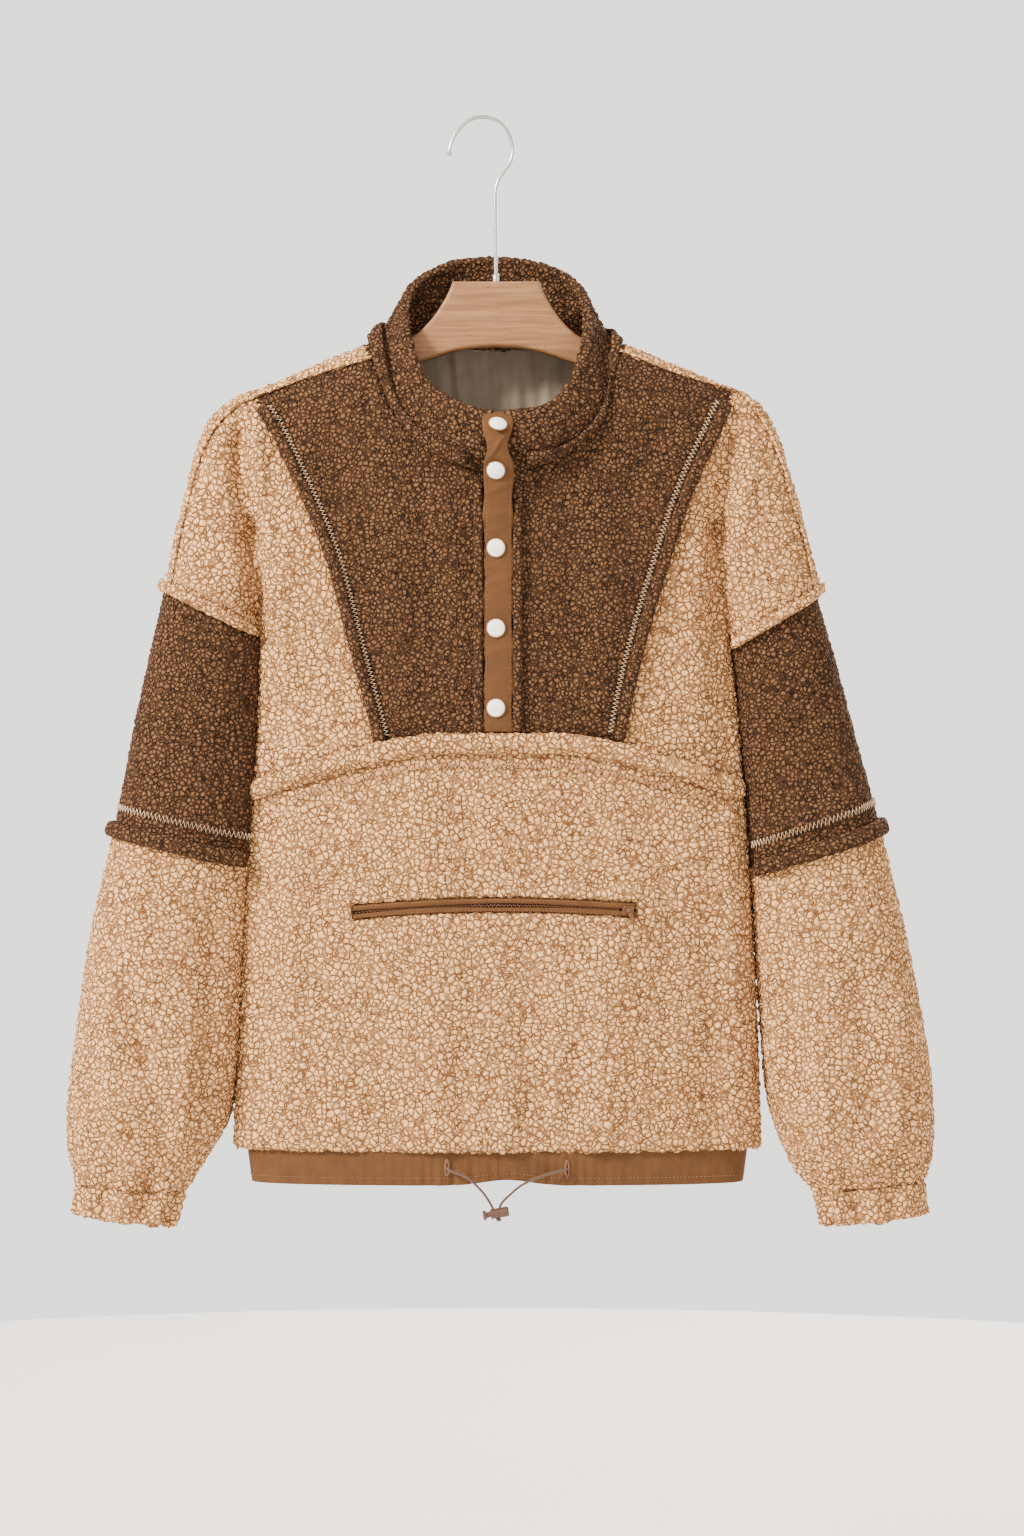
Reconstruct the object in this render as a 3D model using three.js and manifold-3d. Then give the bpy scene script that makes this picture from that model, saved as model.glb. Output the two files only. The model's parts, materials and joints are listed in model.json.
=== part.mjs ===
// Sherpa fleece pullover with a snap placket, hung by its shoulders on a wooden hanger.
// Millimetres, +Z up, and the front faces -Y. The origin is where the hook rests on its rail.
// The shank stands SHANK_X to the right of that point, and all shapes are measured from the shank.
import * as THREE from 'three';
import { mergeVertices } from 'three/addons/utils/BufferGeometryUtils.js';
import Module from 'manifold-3d';

const wasm = await Module();
wasm.setup();

const GAP = 0.3;
const MERGE = 1e-4;
const SHANK_X = 11;

// Cloth thicknesses: sherpa with its pile, the doubled collar, woven nylon, lining.
const FLEECE = 5;
const COLLAR_WALL = 9;
const WOVEN = 2;
const LINING = 1.2;
const LINING_LIFT = 1.4;
const STRIP = 3;
const STRIP_LIFT = 0.8;

// The shoulder ridge falls evenly from the neck, and the body hangs from it to its hem.
const NECK_Z = -136.5;
const SHOULDER_SLOPE = 0.418;
const SHOULDER_X = 195;
const HEM_Z = -823;
const RIDGE_ROUND = 60;
const BODY_SQUARE = 2.5;
const SLEEVE_SQUARE = 2.2;
const BODY_AROUND = { outside: 36, inside: 28 };
const SLEEVE_AROUND = { outside: 26, inside: 20 };

// Body sections by the height of their side folds: side edges and the depths of front and back.
const bodyRows = [
  { z: -218, left: -196, right: 197, front: 34, back: 36 },
  { z: -240, left: -207, right: 199, front: 35, back: 38 },
  { z: -262, left: -213, right: 202, front: 37, back: 40 },
  { z: -300, left: -213, right: 203, front: 41, back: 42 },
  { z: -340, left: -207, right: 200, front: 45, back: 43 },
  { z: -375, left: -198, right: 193, front: 46, back: 41 },
  { z: -400, left: -190.5, right: 186, front: 45, back: 39 },
  { z: -417, left: -187.5, right: 184, front: 44, back: 38 },
  { z: -465, left: -188.5, right: 189, front: 42, back: 36 },
  { z: -513, left: -191, right: 193, front: 42, back: 35 },
  { z: -593, left: -197, right: 199, front: 44, back: 35 },
  { z: -705, left: -202.4, right: 204.8, front: 45, back: 36 },
  { z: -823, left: -206.4, right: 208.8, front: 43, back: 37 },
];
const BODY_DROPS = [
  0, 0.004, 0.012, 0.026, 0.048, 0.078, 0.115, 0.16, 0.205, 0.25, 0.29, 0.325, 0.36,
  0.41, 0.49, 0.58, 0.68, 0.79, 0.9, 1,
];
const INSIDE_DROPS = [0, 0.004, 0.012, 0.026, 0.048, 0.078, 0.115, 0.19, 0.28, 0.36, 0.49, 0.68, 1];

// Sleeve sections from the shoulder to the cuff: the outer and inner fold and the half depth.
const sleeveRows = {
  left: [
    { ox: -194, oz: -216, ix: -150, iz: -236, depth: 15 },
    { ox: -213, oz: -226, ix: -164, iz: -254, depth: 22 },
    { ox: -231, oz: -243, ix: -172, iz: -278, depth: 25 },
    { ox: -241, oz: -270, ix: -177, iz: -304, depth: 28 },
    { ox: -250, oz: -305, ix: -181, iz: -339, depth: 30 },
    { ox: -258, oz: -338, ix: -186, iz: -374, depth: 32 },
    { ox: -264.5, oz: -373, ix: -190.5, iz: -411, depth: 34 },
    { ox: -277, oz: -429, ix: -191.5, iz: -457, depth: 35 },
    { ox: -290, oz: -489, ix: -194, iz: -513, depth: 36 },
    { ox: -305, oz: -567, ix: -200, iz: -592, depth: 38 },
    { ox: -317, oz: -617, ix: -204, iz: -644, depth: 41 },
    { ox: -327, oz: -665, ix: -207, iz: -698, depth: 44 },
    { ox: -335, oz: -721, ix: -210, iz: -750, depth: 46 },
    { ox: -341.5, oz: -777, ix: -217, iz: -797, depth: 45 },
    { ox: -342.5, oz: -817, ix: -231, iz: -827, depth: 39 },
    { ox: -336, oz: -852, ix: -247, iz: -857, depth: 28 },
    { ox: -340, oz: -875, ix: -256, iz: -886, depth: 27 },
  ],
  right: [
    { ox: 197, oz: -218, ix: 152, iz: -238, depth: 15 },
    { ox: 213, oz: -231, ix: 164, iz: -258, depth: 22 },
    { ox: 225, oz: -252, ix: 167, iz: -282, depth: 25 },
    { ox: 234, oz: -280, ix: 170, iz: -310, depth: 28 },
    { ox: 243, oz: -310, ix: 174, iz: -344, depth: 30 },
    { ox: 250.5, oz: -340, ix: 179, iz: -379, depth: 32 },
    { ox: 260, oz: -377, ix: 186.5, iz: -421, depth: 34 },
    { ox: 274.5, oz: -427, ix: 191.5, iz: -463, depth: 35 },
    { ox: 289, oz: -481, ix: 196.5, iz: -517, depth: 36 },
    { ox: 311.5, oz: -565, ix: 202.5, iz: -599, depth: 38 },
    { ox: 325.5, oz: -622, ix: 205.5, iz: -649, depth: 41 },
    { ox: 336, oz: -668, ix: 208.5, iz: -694, depth: 44 },
    { ox: 346, oz: -718, ix: 212, iz: -738, depth: 46 },
    { ox: 354, oz: -776, ix: 217.5, iz: -788, depth: 45 },
    { ox: 352, oz: -822, ix: 236, iz: -836, depth: 39 },
    { ox: 343, oz: -848, ix: 253, iz: -857, depth: 28 },
    { ox: 345.5, oz: -876, ix: 259.5, iz: -885, depth: 27 },
  ],
};
const DROP_SEAM = 6;
const BAND_SEAM = 9;
const CUFF_SEAM = 15;
const CUFF_EDGE = 16;

// Gathers above and in each cuff: count round the wrist and height of the waves.
const GATHERS = 9;
const GATHER_HEIGHT = 2.6;
const GATHER_FROM = 13;
const GATHER_AROUND = 36;

// Seam lines on the front, x and z along each one.
const yokeSeam = {
  left: [
    [-190, -228], [-172.4, -255.5], [-156.5, -288.7], [-142.3, -320], [-129.5, -353],
    [-119.8, -388], [-110.9, -423.5], [-102.5, -455], [-94, -487], [-90, -504],
  ],
  right: [
    [187, -223.5], [172.6, -253.5], [159.5, -281], [146.5, -313], [136.5, -344],
    [126.5, -376], [117, -408.5], [108, -443], [101.5, -474], [97, -501],
  ],
};
const shoulderSeam = {
  left: [
    [-60, -182], [-109.7, -196.9], [-151.9, -208.9], [-185.3, -221.6], [-206, -232],
    [-224.3, -250.3], [-235.5, -274.9], [-245, -309.9], [-252.2, -341.8], [-260, -385],
  ],
  right: [
    [60, -175], [106.7, -190.6], [136.9, -202.5], [166.4, -211.3], [195, -220.8],
    [215.4, -250.3], [228.4, -282.1], [235.6, -309.9], [245.1, -340], [254, -385],
  ],
};
const ARCH_TOP_Z = -501.5;
const ARCH_FLAT_X = 50;
const ARCH_DROP = 36;
const ARCH_REACH = 142;

// Collar stations round the neck from the front opening: neck seam, bulge and rim.
// The seam is level behind, between the stations at the two sides.
const COLLAR_SIDES = [6, 12];
const NECK_BACK_Z = -182.5;
const collarRows = [
  { bx: -2, bz: -289, mx: -2, my: -62, mz: -264, tx: -2, ty: -58, tz: -243 },
  { bx: -20, bz: -285, mx: -22, my: -61, mz: -261, tx: -20, ty: -57.5, tz: -240 },
  { bx: -42, bz: -276, mx: -43, my: -57, mz: -254, tx: -38, ty: -54, tz: -232 },
  { bx: -64, bz: -259, mx: -63, my: -48, mz: -240, tx: -57, ty: -46, tz: -219 },
  { bx: -84, bz: -236, mx: -77, my: -35, mz: -214, tx: -70, ty: -32, tz: -194 },
  { bx: -97, bz: -209, mx: -83, my: -17, mz: -183, tx: -77, ty: -14, tz: -165 },
  { bx: -104, bz: -182.5, mx: -84, my: 5, mz: -157, tx: -76, ty: 6, tz: -142 },
  { bx: -84, bz: -182.5, mx: -77, my: 28, mz: -150, tx: -63, ty: 29, tz: -124 },
  { bx: -46, bz: -182.5, mx: -44, my: 45, mz: -143, tx: -37, ty: 43, tz: -111 },
  { bx: 0, bz: -182.5, mx: 0, my: 50, mz: -142, tx: 0, ty: 48, tz: -107.5 },
  { bx: 46, bz: -182.5, mx: 46, my: 45, mz: -144, tx: 38, ty: 43, tz: -112.5 },
  { bx: 84, bz: -182.5, mx: 79, my: 28, mz: -153, tx: 64, ty: 29, tz: -126 },
  { bx: 103, bz: -182.5, mx: 86, my: 5, mz: -166, tx: 76, ty: 6, tz: -145 },
  { bx: 97, bz: -209, mx: 87, my: -17, mz: -195, tx: 77.5, ty: -14, tz: -168 },
  { bx: 87, bz: -236, mx: 83, my: -35, mz: -224, tx: 73, ty: -32, tz: -193 },
  { bx: 68, bz: -259, mx: 67, my: -48, mz: -249, tx: 61, ty: -46, tz: -221 },
  { bx: 44, bz: -276, mx: 45, my: -57, mz: -262, tx: 43, ty: -54, tz: -237 },
  { bx: 22, bz: -286, mx: 24, my: -61, mz: -263, tx: 22, ty: -57.5, tz: -241 },
  { bx: 6, bz: -289, mx: 6, my: -62, mz: -264, tx: 6, ty: -58, tz: -243 },
];

// Placket strip from the collar's rim down to the arched seam.
const PLACKET = { left: -9.4, right: 13.6, bottom: -492, lift: 1 };
const placketTop = [
  { z: -240, left: -9.5, right: 13.5, y: -60.5 },
  { z: -247, left: -10, right: 14, y: -63.5 },
  { z: -255, left: -8, right: 12, y: -65.5 },
  { z: -264, left: -5.5, right: 9, y: -66.5 },
  { z: -272, left: -5.5, right: 9, y: -65 },
  { z: -280, left: -8, right: 12, y: -62 },
  { z: -290, left: -9.4, right: 13.4, y: -58.5 },
  { z: -300, left: -9.4, right: 13.6, y: -54.5 },
  { z: -312, left: -9.4, right: 13.6, y: -50.5 },
  { z: -326, left: -9.4, right: 13.6, y: -48.2 },
];
const snapCaps = [
  { x: 1.8, z: -251.2, tilt: 0.5 },
  { x: 0.2, z: -286.6, tilt: -0.35 },
  { x: 0.2, z: -346.3, tilt: 0 },
  { x: 0.2, z: -409.2, tilt: 0 },
  { x: 0.2, z: -472, tilt: 0 },
];
const SNAP = { radius: 7.5, height: 2.4 };

// Zipped welt pocket on the lower front.
const POCKET = { left: -113.5, right: 111, top: 6.4, bottom: -5.4, bow: 6, rise: -627.5 };
const SLIDER = { x: 104, length: 9, width: 6.6, height: 2.4, lift: -0.5 };
const TAB = { length: 12, width: 3.2, thick: 1.1, ring: 1.9, hole: 1, pin: 0.6, turn: -60, rise: 2.3 };

// Hem casing, its two buttonholes and the elastic cord with its lock.
const HEM_BAND = { top: -812, bottom: -848, halfTop: 201.3, halfBottom: 196.5, front: 37, back: 31 };
const CORD = { radius: 1, segments: 20, sides: 8 };
const LOCK = { x: 1.4, y: -42, z: -869.6, tilt: 10, radius: 4, bore: 2.7, shaft: 2.3, head: 3.8 };
const LOCK_SPAN = { left: -5.5, right: 9, bottomOfBore: 6, headOut: -11.5, headIn: -9, shaftEnd: 0 };
const cordPaths = {
  left: [
    [-38.5, -36.5, -834.5], [-38.2, -39, -834.8], [-36, -41, -836.2], [-32, -41.8, -837.8],
    [-25.1, -42, -840.1], [-18.1, -42, -845.2], [-11.1, -42, -852.2], [-6.1, -42, -859],
    [-2.6, -42, -865.2],
  ],
  right: [
    [56.1, -36.2, -835.5], [55.8, -38.8, -835.6], [53.4, -40.9, -836], [48, -41.8, -837],
    [33.1, -42, -841.6], [19.9, -42, -847.9], [10, -42, -856.2], [5.4, -42, -860.8],
    [3.2, -42, -864.4],
  ],
};

// Hanger: a flat wooden board with sloping arms, and a hook of steel wire.
const BOARD = { thick: 12, bevel: 1.5 };
const boardTop = [
  [0, -130.5], [34.5, -130.5], [37.5, -138], [41.5, -145.7], [51.1, -160], [64, -172.5], [85, -183],
  [110, -192], [150, -209.5], [180, -223.5],
];
const boardBottom = [
  [193, -231], [196, -238], [191, -243], [180, -241.5], [150, -229], [100, -209], [53, -192.5],
  [27, -184.8], [0, -182.4],
];
const WIRE = { radius: 1.6, segments: 32, sides: 8 };
const wirePath = [
  [-37.4, -26], [-35.2, -18], [-32, -11.4], [-27.2, -5.7], [-22, -1.4], [-16.4, 1], [-11, 1.6],
  [-5, 0.9], [2.6, -2.4], [9, -9], [12.6, -17], [13.6, -25], [12, -33], [7.2, -41], [2.4, -48],
  [0.2, -55], [-0.4, -64], [-0.2, -97], [0, -131],
];
const BALL = 2.6;

const creamFleece = { color: 0xe1be96, roughness: 0.95, metalness: 0 };
const brownFleece = { color: 0x6e4b2d, roughness: 0.95, metalness: 0 };
const brownWoven = { color: 0x8c5f3c, roughness: 0.6, metalness: 0 };
const taupeLining = { color: 0x7d7064, roughness: 0.5, metalness: 0 };
const ivoryPlastic = { color: 0xf0e8dc, roughness: 0.35, metalness: 0 };
const steel = { color: 0xb8b4ae, roughness: 0.35, metalness: 1 };
const beech = { color: 0xc8a582, roughness: 0.6, metalness: 0 };
const brownPlastic = { color: 0x6a4630, roughness: 0.4, metalness: 0 };
const brownMetal = { color: 0x7a5238, roughness: 0.4, metalness: 0.6 };

const point = (x, y, z) => new THREE.Vector3(x, y, z);
const mix = (a, b, t) => a + (b - a) * t;
const signedPower = (value, power) => Math.sign(value) * Math.abs(value) ** power;

// Smooth value of one column at a key, by cubic steps between the rows.
function column(rows, key, at, name) {
  const rising = rows[1][key] > rows[0][key];
  let i = 0;
  while (i < rows.length - 2 && (rising ? at > rows[i + 1][key] : at < rows[i + 1][key])) i += 1;
  const slope = (k) => {
    const before = rows[Math.max(k - 1, 0)];
    const after = rows[Math.min(k + 1, rows.length - 1)];
    return (after[name] - before[name]) / (after[key] - before[key]);
  };
  const span = rows[i + 1][key] - rows[i][key];
  const t = Math.min(Math.max((at - rows[i][key]) / span, 0), 1);
  const start = (1 + 2 * t) * (1 - t) ** 2 * rows[i][name] + t * (1 - t) ** 2 * span * slope(i);
  return start + t * t * (3 - 2 * t) * rows[i + 1][name] + t * t * (t - 1) * span * slope(i + 1);
}

const ridgeZ = (x) => NECK_Z - SHOULDER_SLOPE * Math.abs(x);
const shoulderZ = ridgeZ(SHOULDER_X);
const archZ = (x) => {
  const out = Math.min(Math.max(Math.abs(x - 2) - ARCH_FLAT_X, 0) / ARCH_REACH, 1.1);
  return ARCH_TOP_Z - ARCH_DROP * out ** 1.4;
};
const pocketZ = (x) => POCKET.rise - POCKET.bow * (x / 110) ** 2 * (x < 0 ? 1 : 0.72);

function bodySection(drop) {
  const z = mix(shoulderZ, HEM_Z, Math.min(drop, 1));
  const at = (name) => column(bodyRows, 'z', z, name);
  const left = at('left');
  const right = at('right');
  return { centre: (left + right) / 2, half: (right - left) / 2, front: at('front'), back: at('back') };
}

// The ridge is round: the depth grows as a quarter circle over the first RIDGE_ROUND below it.
const ridgeRound = (below) => {
  const rest = 1 - Math.min(Math.max(below / RIDGE_ROUND, 0), 1);
  return Math.sqrt(Math.max(1 - rest * rest, 0));
};

const RIDGE_STRETCH = Math.hypot(1, SHOULDER_SLOPE);

// A point of the body by its angle round the section and its drop from ridge (0) to hem (1).
function bodyPoint(angle, drop, inset) {
  const section = bodySection(drop);
  const across = signedPower(Math.sin(angle), 2 / BODY_SQUARE);
  const deep = signedPower(Math.cos(angle), 2 / BODY_SQUARE);
  const x = section.centre + (section.half - inset) * across;
  const top = ridgeZ(x) - inset * RIDGE_STRETCH;
  const z = mix(top, HEM_Z, drop);
  const depth = (deep > 0 ? section.front : section.back) - inset;
  return point(x, -depth * deep * ridgeRound(top - z), z);
}

// Depth of the body at a place on its front (side 1) or back (side -1).
function bodyDepth(x, z, inset, side) {
  const top = ridgeZ(x) - inset * RIDGE_STRETCH;
  const section = bodySection((top - z) / (top - HEM_Z));
  const out = Math.min(Math.abs((x - section.centre) / (section.half - inset)), 1);
  const deep = (1 - out ** BODY_SQUARE) ** (1 / BODY_SQUARE);
  const depth = (side > 0 ? section.front : section.back) - inset;
  return depth * deep * ridgeRound(top - z);
}

// Depth of a sleeve cap at a place on its front, from the section that runs through the place.
function capDepth(side, x, z) {
  const rows = sleeveRows[side].map((r, i) => ({ ...r, i }));
  const ends = (row) => ['ox', 'oz', 'ix', 'iz'].map((name) => column(rows, 'i', row, name));
  const below = (row) => {
    const [ox, oz, ix, iz] = ends(row);
    return z < mix(oz, iz, (x - ox) / (ix - ox));
  };
  if (!below(0) || below(DROP_SEAM)) return 0;
  let [high, low] = [0, DROP_SEAM];
  for (let turn = 0; turn < 20; turn += 1) {
    const middle = (high + low) / 2;
    if (below(middle)) high = middle;
    else low = middle;
  }
  const [ox, , ix] = ends(high);
  const out = Math.min(Math.abs((2 * (x - ox)) / (ix - ox) - 1), 1);
  return column(rows, 'i', high, 'depth') * (1 - out ** SLEEVE_SQUARE) ** (1 / SLEEVE_SQUARE);
}

const frontDepth = (x, z) =>
  Math.max(bodyDepth(x, z, 0, 1), capDepth('left', x, z), capDepth('right', x, z));

// A point lifted off the front at x and z, square to the cloth.
function frontPoint(x, z, lift) {
  const step = 1;
  const slopeX = (frontDepth(x - step, z) - frontDepth(x + step, z)) / (2 * step);
  const slopeZ = (frontDepth(x, z - step) - frontDepth(x, z + step)) / (2 * step);
  const out = point(slopeX, -1, slopeZ).normalize();
  return point(x, -frontDepth(x, z), z).addScaledVector(out, lift);
}

// A point of a sleeve by its angle, 0 in front and positive towards the body, and its row.
function sleevePoint(side, angle, row, inset, gather = 0) {
  const rows = sleeveRows[side].map((r, i) => ({ ...r, i }));
  const at = (name) => column(rows, 'i', row, name);
  const outer = point(at('ox'), 0, at('oz'));
  const inner = point(at('ix'), 0, at('iz'));
  const half = inner.clone().sub(outer).multiplyScalar(0.5);
  const centre = outer.add(half);
  const width = half.length();
  const grown = (width - inset + gather) / width;
  const across = signedPower(Math.sin(angle), 2 / SLEEVE_SQUARE) * grown;
  const deep = signedPower(Math.cos(angle), 2 / SLEEVE_SQUARE);
  const spot = centre.addScaledVector(half, across);
  spot.y = -(at('depth') - inset + gather) * deep;
  return spot;
}

// Height of the gathers, which fade in from GATHER_FROM down to the cuff seam.
function gatherHeight(angle, row) {
  const near = Math.min(Math.max((row - GATHER_FROM) / (CUFF_SEAM - GATHER_FROM), 0), 1);
  return GATHER_HEIGHT * near * near * Math.cos(GATHERS * angle);
}

const angles = (count) => Array.from({ length: count }, (_, i) => (2 * Math.PI * i) / count);

function faceted(positions, triangles) {
  const geometry = new THREE.BufferGeometry();
  geometry.setAttribute('position', new THREE.Float32BufferAttribute(positions, 3));
  geometry.setIndex(triangles);
  return mergeVertices(geometry, MERGE);
}

// Closes a stack of equal loops: round on itself, or with a fan at each end.
function loft(loops, closed = false) {
  const count = loops[0].length;
  const positions = loops.flat().flatMap((p) => p.toArray());
  const triangles = [];
  const last = closed ? loops.length : loops.length - 1;
  for (let i = 0; i < last; i += 1) {
    const a = i * count;
    const b = ((i + 1) % loops.length) * count;
    for (let j = 0; j < count; j += 1) {
      const k = (j + 1) % count;
      triangles.push(a + j, b + j, b + k, a + j, b + k, a + k);
    }
  }
  if (!closed) {
    [[0, 1], [loops.length - 1, -1]].forEach(([end, way]) => {
      const middle = loops[end].reduce((sum, p) => sum.add(p), point(0, 0, 0)).divideScalar(count);
      positions.push(...middle.toArray());
      const hub = positions.length / 3 - 1;
      for (let j = 0; j < count; j += 1) {
        const a = end * count + j;
        const b = end * count + ((j + 1) % count);
        triangles.push(...(way > 0 ? [hub, a, b] : [hub, b, a]));
      }
    });
  }
  return outward(faceted(positions, triangles));
}

function signedVolume(geometry) {
  const p = geometry.attributes.position;
  const index = geometry.index.array;
  let volume = 0;
  const [a, b, c] = [point(), point(), point()];
  for (let i = 0; i < index.length; i += 3) {
    a.fromBufferAttribute(p, index[i]);
    b.fromBufferAttribute(p, index[i + 1]);
    c.fromBufferAttribute(p, index[i + 2]);
    volume += a.dot(b.cross(c)) / 6;
  }
  return volume;
}

function outward(geometry) {
  if (signedVolume(geometry) >= 0) return geometry;
  const index = geometry.index.array;
  for (let i = 0; i < index.length; i += 3) {
    [index[i + 1], index[i + 2]] = [index[i + 2], index[i + 1]];
  }
  return geometry;
}

function toSolid(geometry) {
  const bare = geometry.clone();
  bare.deleteAttribute('normal');
  bare.deleteAttribute('uv');
  const merged = mergeVertices(bare, MERGE);
  const kept = [];
  const index = merged.index.array;
  for (let i = 0; i < index.length; i += 3) {
    const [a, b, c] = [index[i], index[i + 1], index[i + 2]];
    if (a !== b && b !== c && a !== c) kept.push(a, b, c);
  }
  return new wasm.Manifold(new wasm.Mesh({
    numProp: 3,
    vertProperties: new Float32Array(merged.attributes.position.array),
    triVerts: new Uint32Array(kept),
  }));
}

// The largest body of a solid, as a geometry.
function toGeometry(solid) {
  const bodies = solid.decompose().sort((a, b) => b.volume() - a.volume());
  const mesh = bodies[0].getMesh();
  const geometry = new THREE.BufferGeometry();
  geometry.setAttribute('position', new THREE.BufferAttribute(mesh.vertProperties, 3));
  geometry.setIndex(new THREE.BufferAttribute(mesh.triVerts, 1));
  return geometry;
}

// A wall of cloth through loops outside and loops inside it, open at both ends.
const wall = (outside, inside) => loft([...outside, ...[...inside].reverse()], true);

// A slab between two equal grids of points.
function slab(front, back) {
  const loops = front.map((row, i) => [...row, ...[...back[i]].reverse()]);
  return loft(loops);
}

// A prism with a front outline of x and z, between two depths.
function prism(outline, near, far) {
  const shape = new THREE.Shape(outline.map(([x, z]) => new THREE.Vector2(x, z)));
  const geometry = new THREE.ExtrudeGeometry(shape, { depth: far - near, bevelEnabled: false });
  geometry.rotateX(Math.PI / 2);
  geometry.translate(0, far, 0);
  return toSolid(geometry);
}

// A seam line moved sideways: positive to the left of its own direction.
function shifted(line, distance) {
  return line.map(([x, z], i) => {
    const before = line[Math.max(i - 1, 0)];
    const after = line[Math.min(i + 1, line.length - 1)];
    const [dx, dz] = [after[0] - before[0], after[1] - before[1]];
    const length = Math.hypot(dx, dz);
    return [x - (distance * dz) / length, z + (distance * dx) / length];
  });
}

function bodySolid(inset, below) {
  const count = inset > 0 ? BODY_AROUND.inside : BODY_AROUND.outside;
  const drops = inset > 0 ? INSIDE_DROPS : BODY_DROPS;
  const loops = drops.map((drop) => angles(count).map((a) => bodyPoint(a, drop, inset)));
  if (below) loops.push(loops.at(-1).map((p) => point(p.x, p.y, p.z - below)));
  return toSolid(loft(loops));
}

function capSolid(side, inset, beyond) {
  const rows = [0, 1, 2, 3, 4, 5, DROP_SEAM];
  const count = inset > 0 ? SLEEVE_AROUND.inside : SLEEVE_AROUND.outside;
  const loops = rows.map((row) => angles(count).map((a) => sleevePoint(side, a, row, inset)));
  if (beyond) {
    const away = loops.at(-1)[0].clone().sub(loops.at(-2)[0]).setLength(beyond);
    loops.push(loops.at(-1).map((p) => p.clone().add(away)));
  }
  return toSolid(loft(loops));
}

// The neck's hole: the outline of the collar's seam, cut through the front and through the back.
function neckSolid() {
  const rows = collarRows.map((r, i) => ({ ...r, i }));
  const seam = (from, to) => Array.from({ length: 33 }, (_, i) => {
    const station = mix(from, to, i / 32);
    return [column(rows, 'i', station, 'bx'), column(rows, 'i', station, 'bz')];
  });
  const high = -100;
  const [leftSide, rightSide] = COLLAR_SIDES;
  const frontLeft = shifted(seam(0, leftSide), GAP + 0.1);
  const frontRight = shifted(seam(rightSide, collarRows.length - 1), GAP + 0.1);
  const [left, right] = [frontLeft.at(-1)[0], frontRight[0][0]];
  const behind = [[left, NECK_BACK_Z - GAP], [right, NECK_BACK_Z - GAP]];
  const close = (line) => [...line, [line.at(-1)[0], high], [line[0][0], high]];
  const front = prism(close([...frontRight, ...frontLeft]), -200, 0.01);
  return front.add(prism(close(behind), 0, 200));
}

// The whole shell of body and sleeve caps, then its panels between the seams.
function bodyPanels() {
  const outside = bodySolid(0, 0).add(capSolid('left', 0, 0)).add(capSolid('right', 0, 0));
  const inside = bodySolid(FLEECE, 5)
    .add(capSolid('left', FLEECE, 8))
    .add(capSolid('right', FLEECE, 8));
  const shell = outside.subtract(inside).subtract(neckSolid());
  const half = GAP / 2;
  const shoulders = [...[...shoulderSeam.left].reverse(), ...shoulderSeam.right];
  const arch = Array.from({ length: 25 }, (_, i) => mix(-210, 212, i / 24)).map((x) => [x, archZ(x)]);
  const wide = 320;
  const upper = (gap) => [...shifted(arch, gap), [wide, archZ(212) + gap], [wide, -80], [-wide, -80],
    [-wide, archZ(-210) + gap]];
  const lower = (gap) => [...shifted(arch, -gap), [wide, archZ(212) - gap], [wide, -900], [-wide, -900],
    [-wide, archZ(-210) - gap]];
  const underShoulders = (gap) => [...shifted(shoulders, gap), [wide, -385], [wide, -900],
    [-wide, -900], [-wide, -385]];
  const front = shell.intersect(prism(underShoulders(-half), -200, -half));
  const back = shell.subtract(prism(underShoulders(half), -200, half));
  const top = front.intersect(prism(upper(half), -200, 10));
  const middle = 2.1;
  const low = -560;
  const yoke = (side) => {
    const way = side === 'left' ? 1 : -1;
    const line = shifted(yokeSeam[side], way * half);
    const [endX] = line.at(-1);
    const [topX, topZ] = line[0];
    return [[topX, topZ + 40], ...line, [endX, low], [middle - way * 2, low], [middle - way * 2, -100],
      [topX, -100]];
  };
  const beside = (side) => {
    const way = side === 'left' ? 1 : -1;
    const line = shifted(yokeSeam[side], -way * half);
    const [endX] = line.at(-1);
    const [topX] = line[0];
    return [[topX, -150], ...line, [endX, low], [-way * wide, low], [-way * wide, -150]];
  };
  const archEnd = front.intersect(prism(lower(half), -200, 10));
  const window = [];
  for (let i = 0; i <= 8; i += 1) {
    const x = mix(POCKET.left, POCKET.right, i / 8);
    window.push([x, pocketZ(x) + POCKET.top]);
  }
  for (let i = 8; i >= 0; i -= 1) {
    const x = mix(POCKET.left, POCKET.right, i / 8);
    window.push([x, pocketZ(x) + POCKET.bottom]);
  }
  return {
    yoke_left: toGeometry(top.intersect(prism(yoke('left'), -200, 10))),
    yoke_right: toGeometry(top.intersect(prism(yoke('right'), -200, 10))),
    side_left: toGeometry(top.intersect(prism(beside('left'), -200, 10))),
    side_right: toGeometry(top.intersect(prism(beside('right'), -200, 10))),
    lower_front: toGeometry(archEnd.subtract(prism(window, -200, 0))),
    back_panel: toGeometry(back),
  };
}

// A sleeve stretch between two rows, with a gap kept at each seam.
function sleeveWall(side, rows, count, gathered) {
  const round = angles(count);
  const loop = (row, inset) => round.map((a) => {
    const wave = gathered ? gatherHeight(a, row) : 0;
    return sleevePoint(side, a, row, inset, wave * (inset > 0 ? 0.5 : 1));
  });
  return wall(rows.map((row) => loop(row, 0)), rows.map((row) => loop(row, FLEECE)));
}

// Seam gaps along a sleeve, as a share of a row.
const ROW_GAP = 0.008;

// The raised edge of a seam round a sleeve, from the inner fold in front round to the back.
const SLEEVE_EDGE = { from: 1.12, to: 2 - 2 * Math.PI, steps: 22 };

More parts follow.
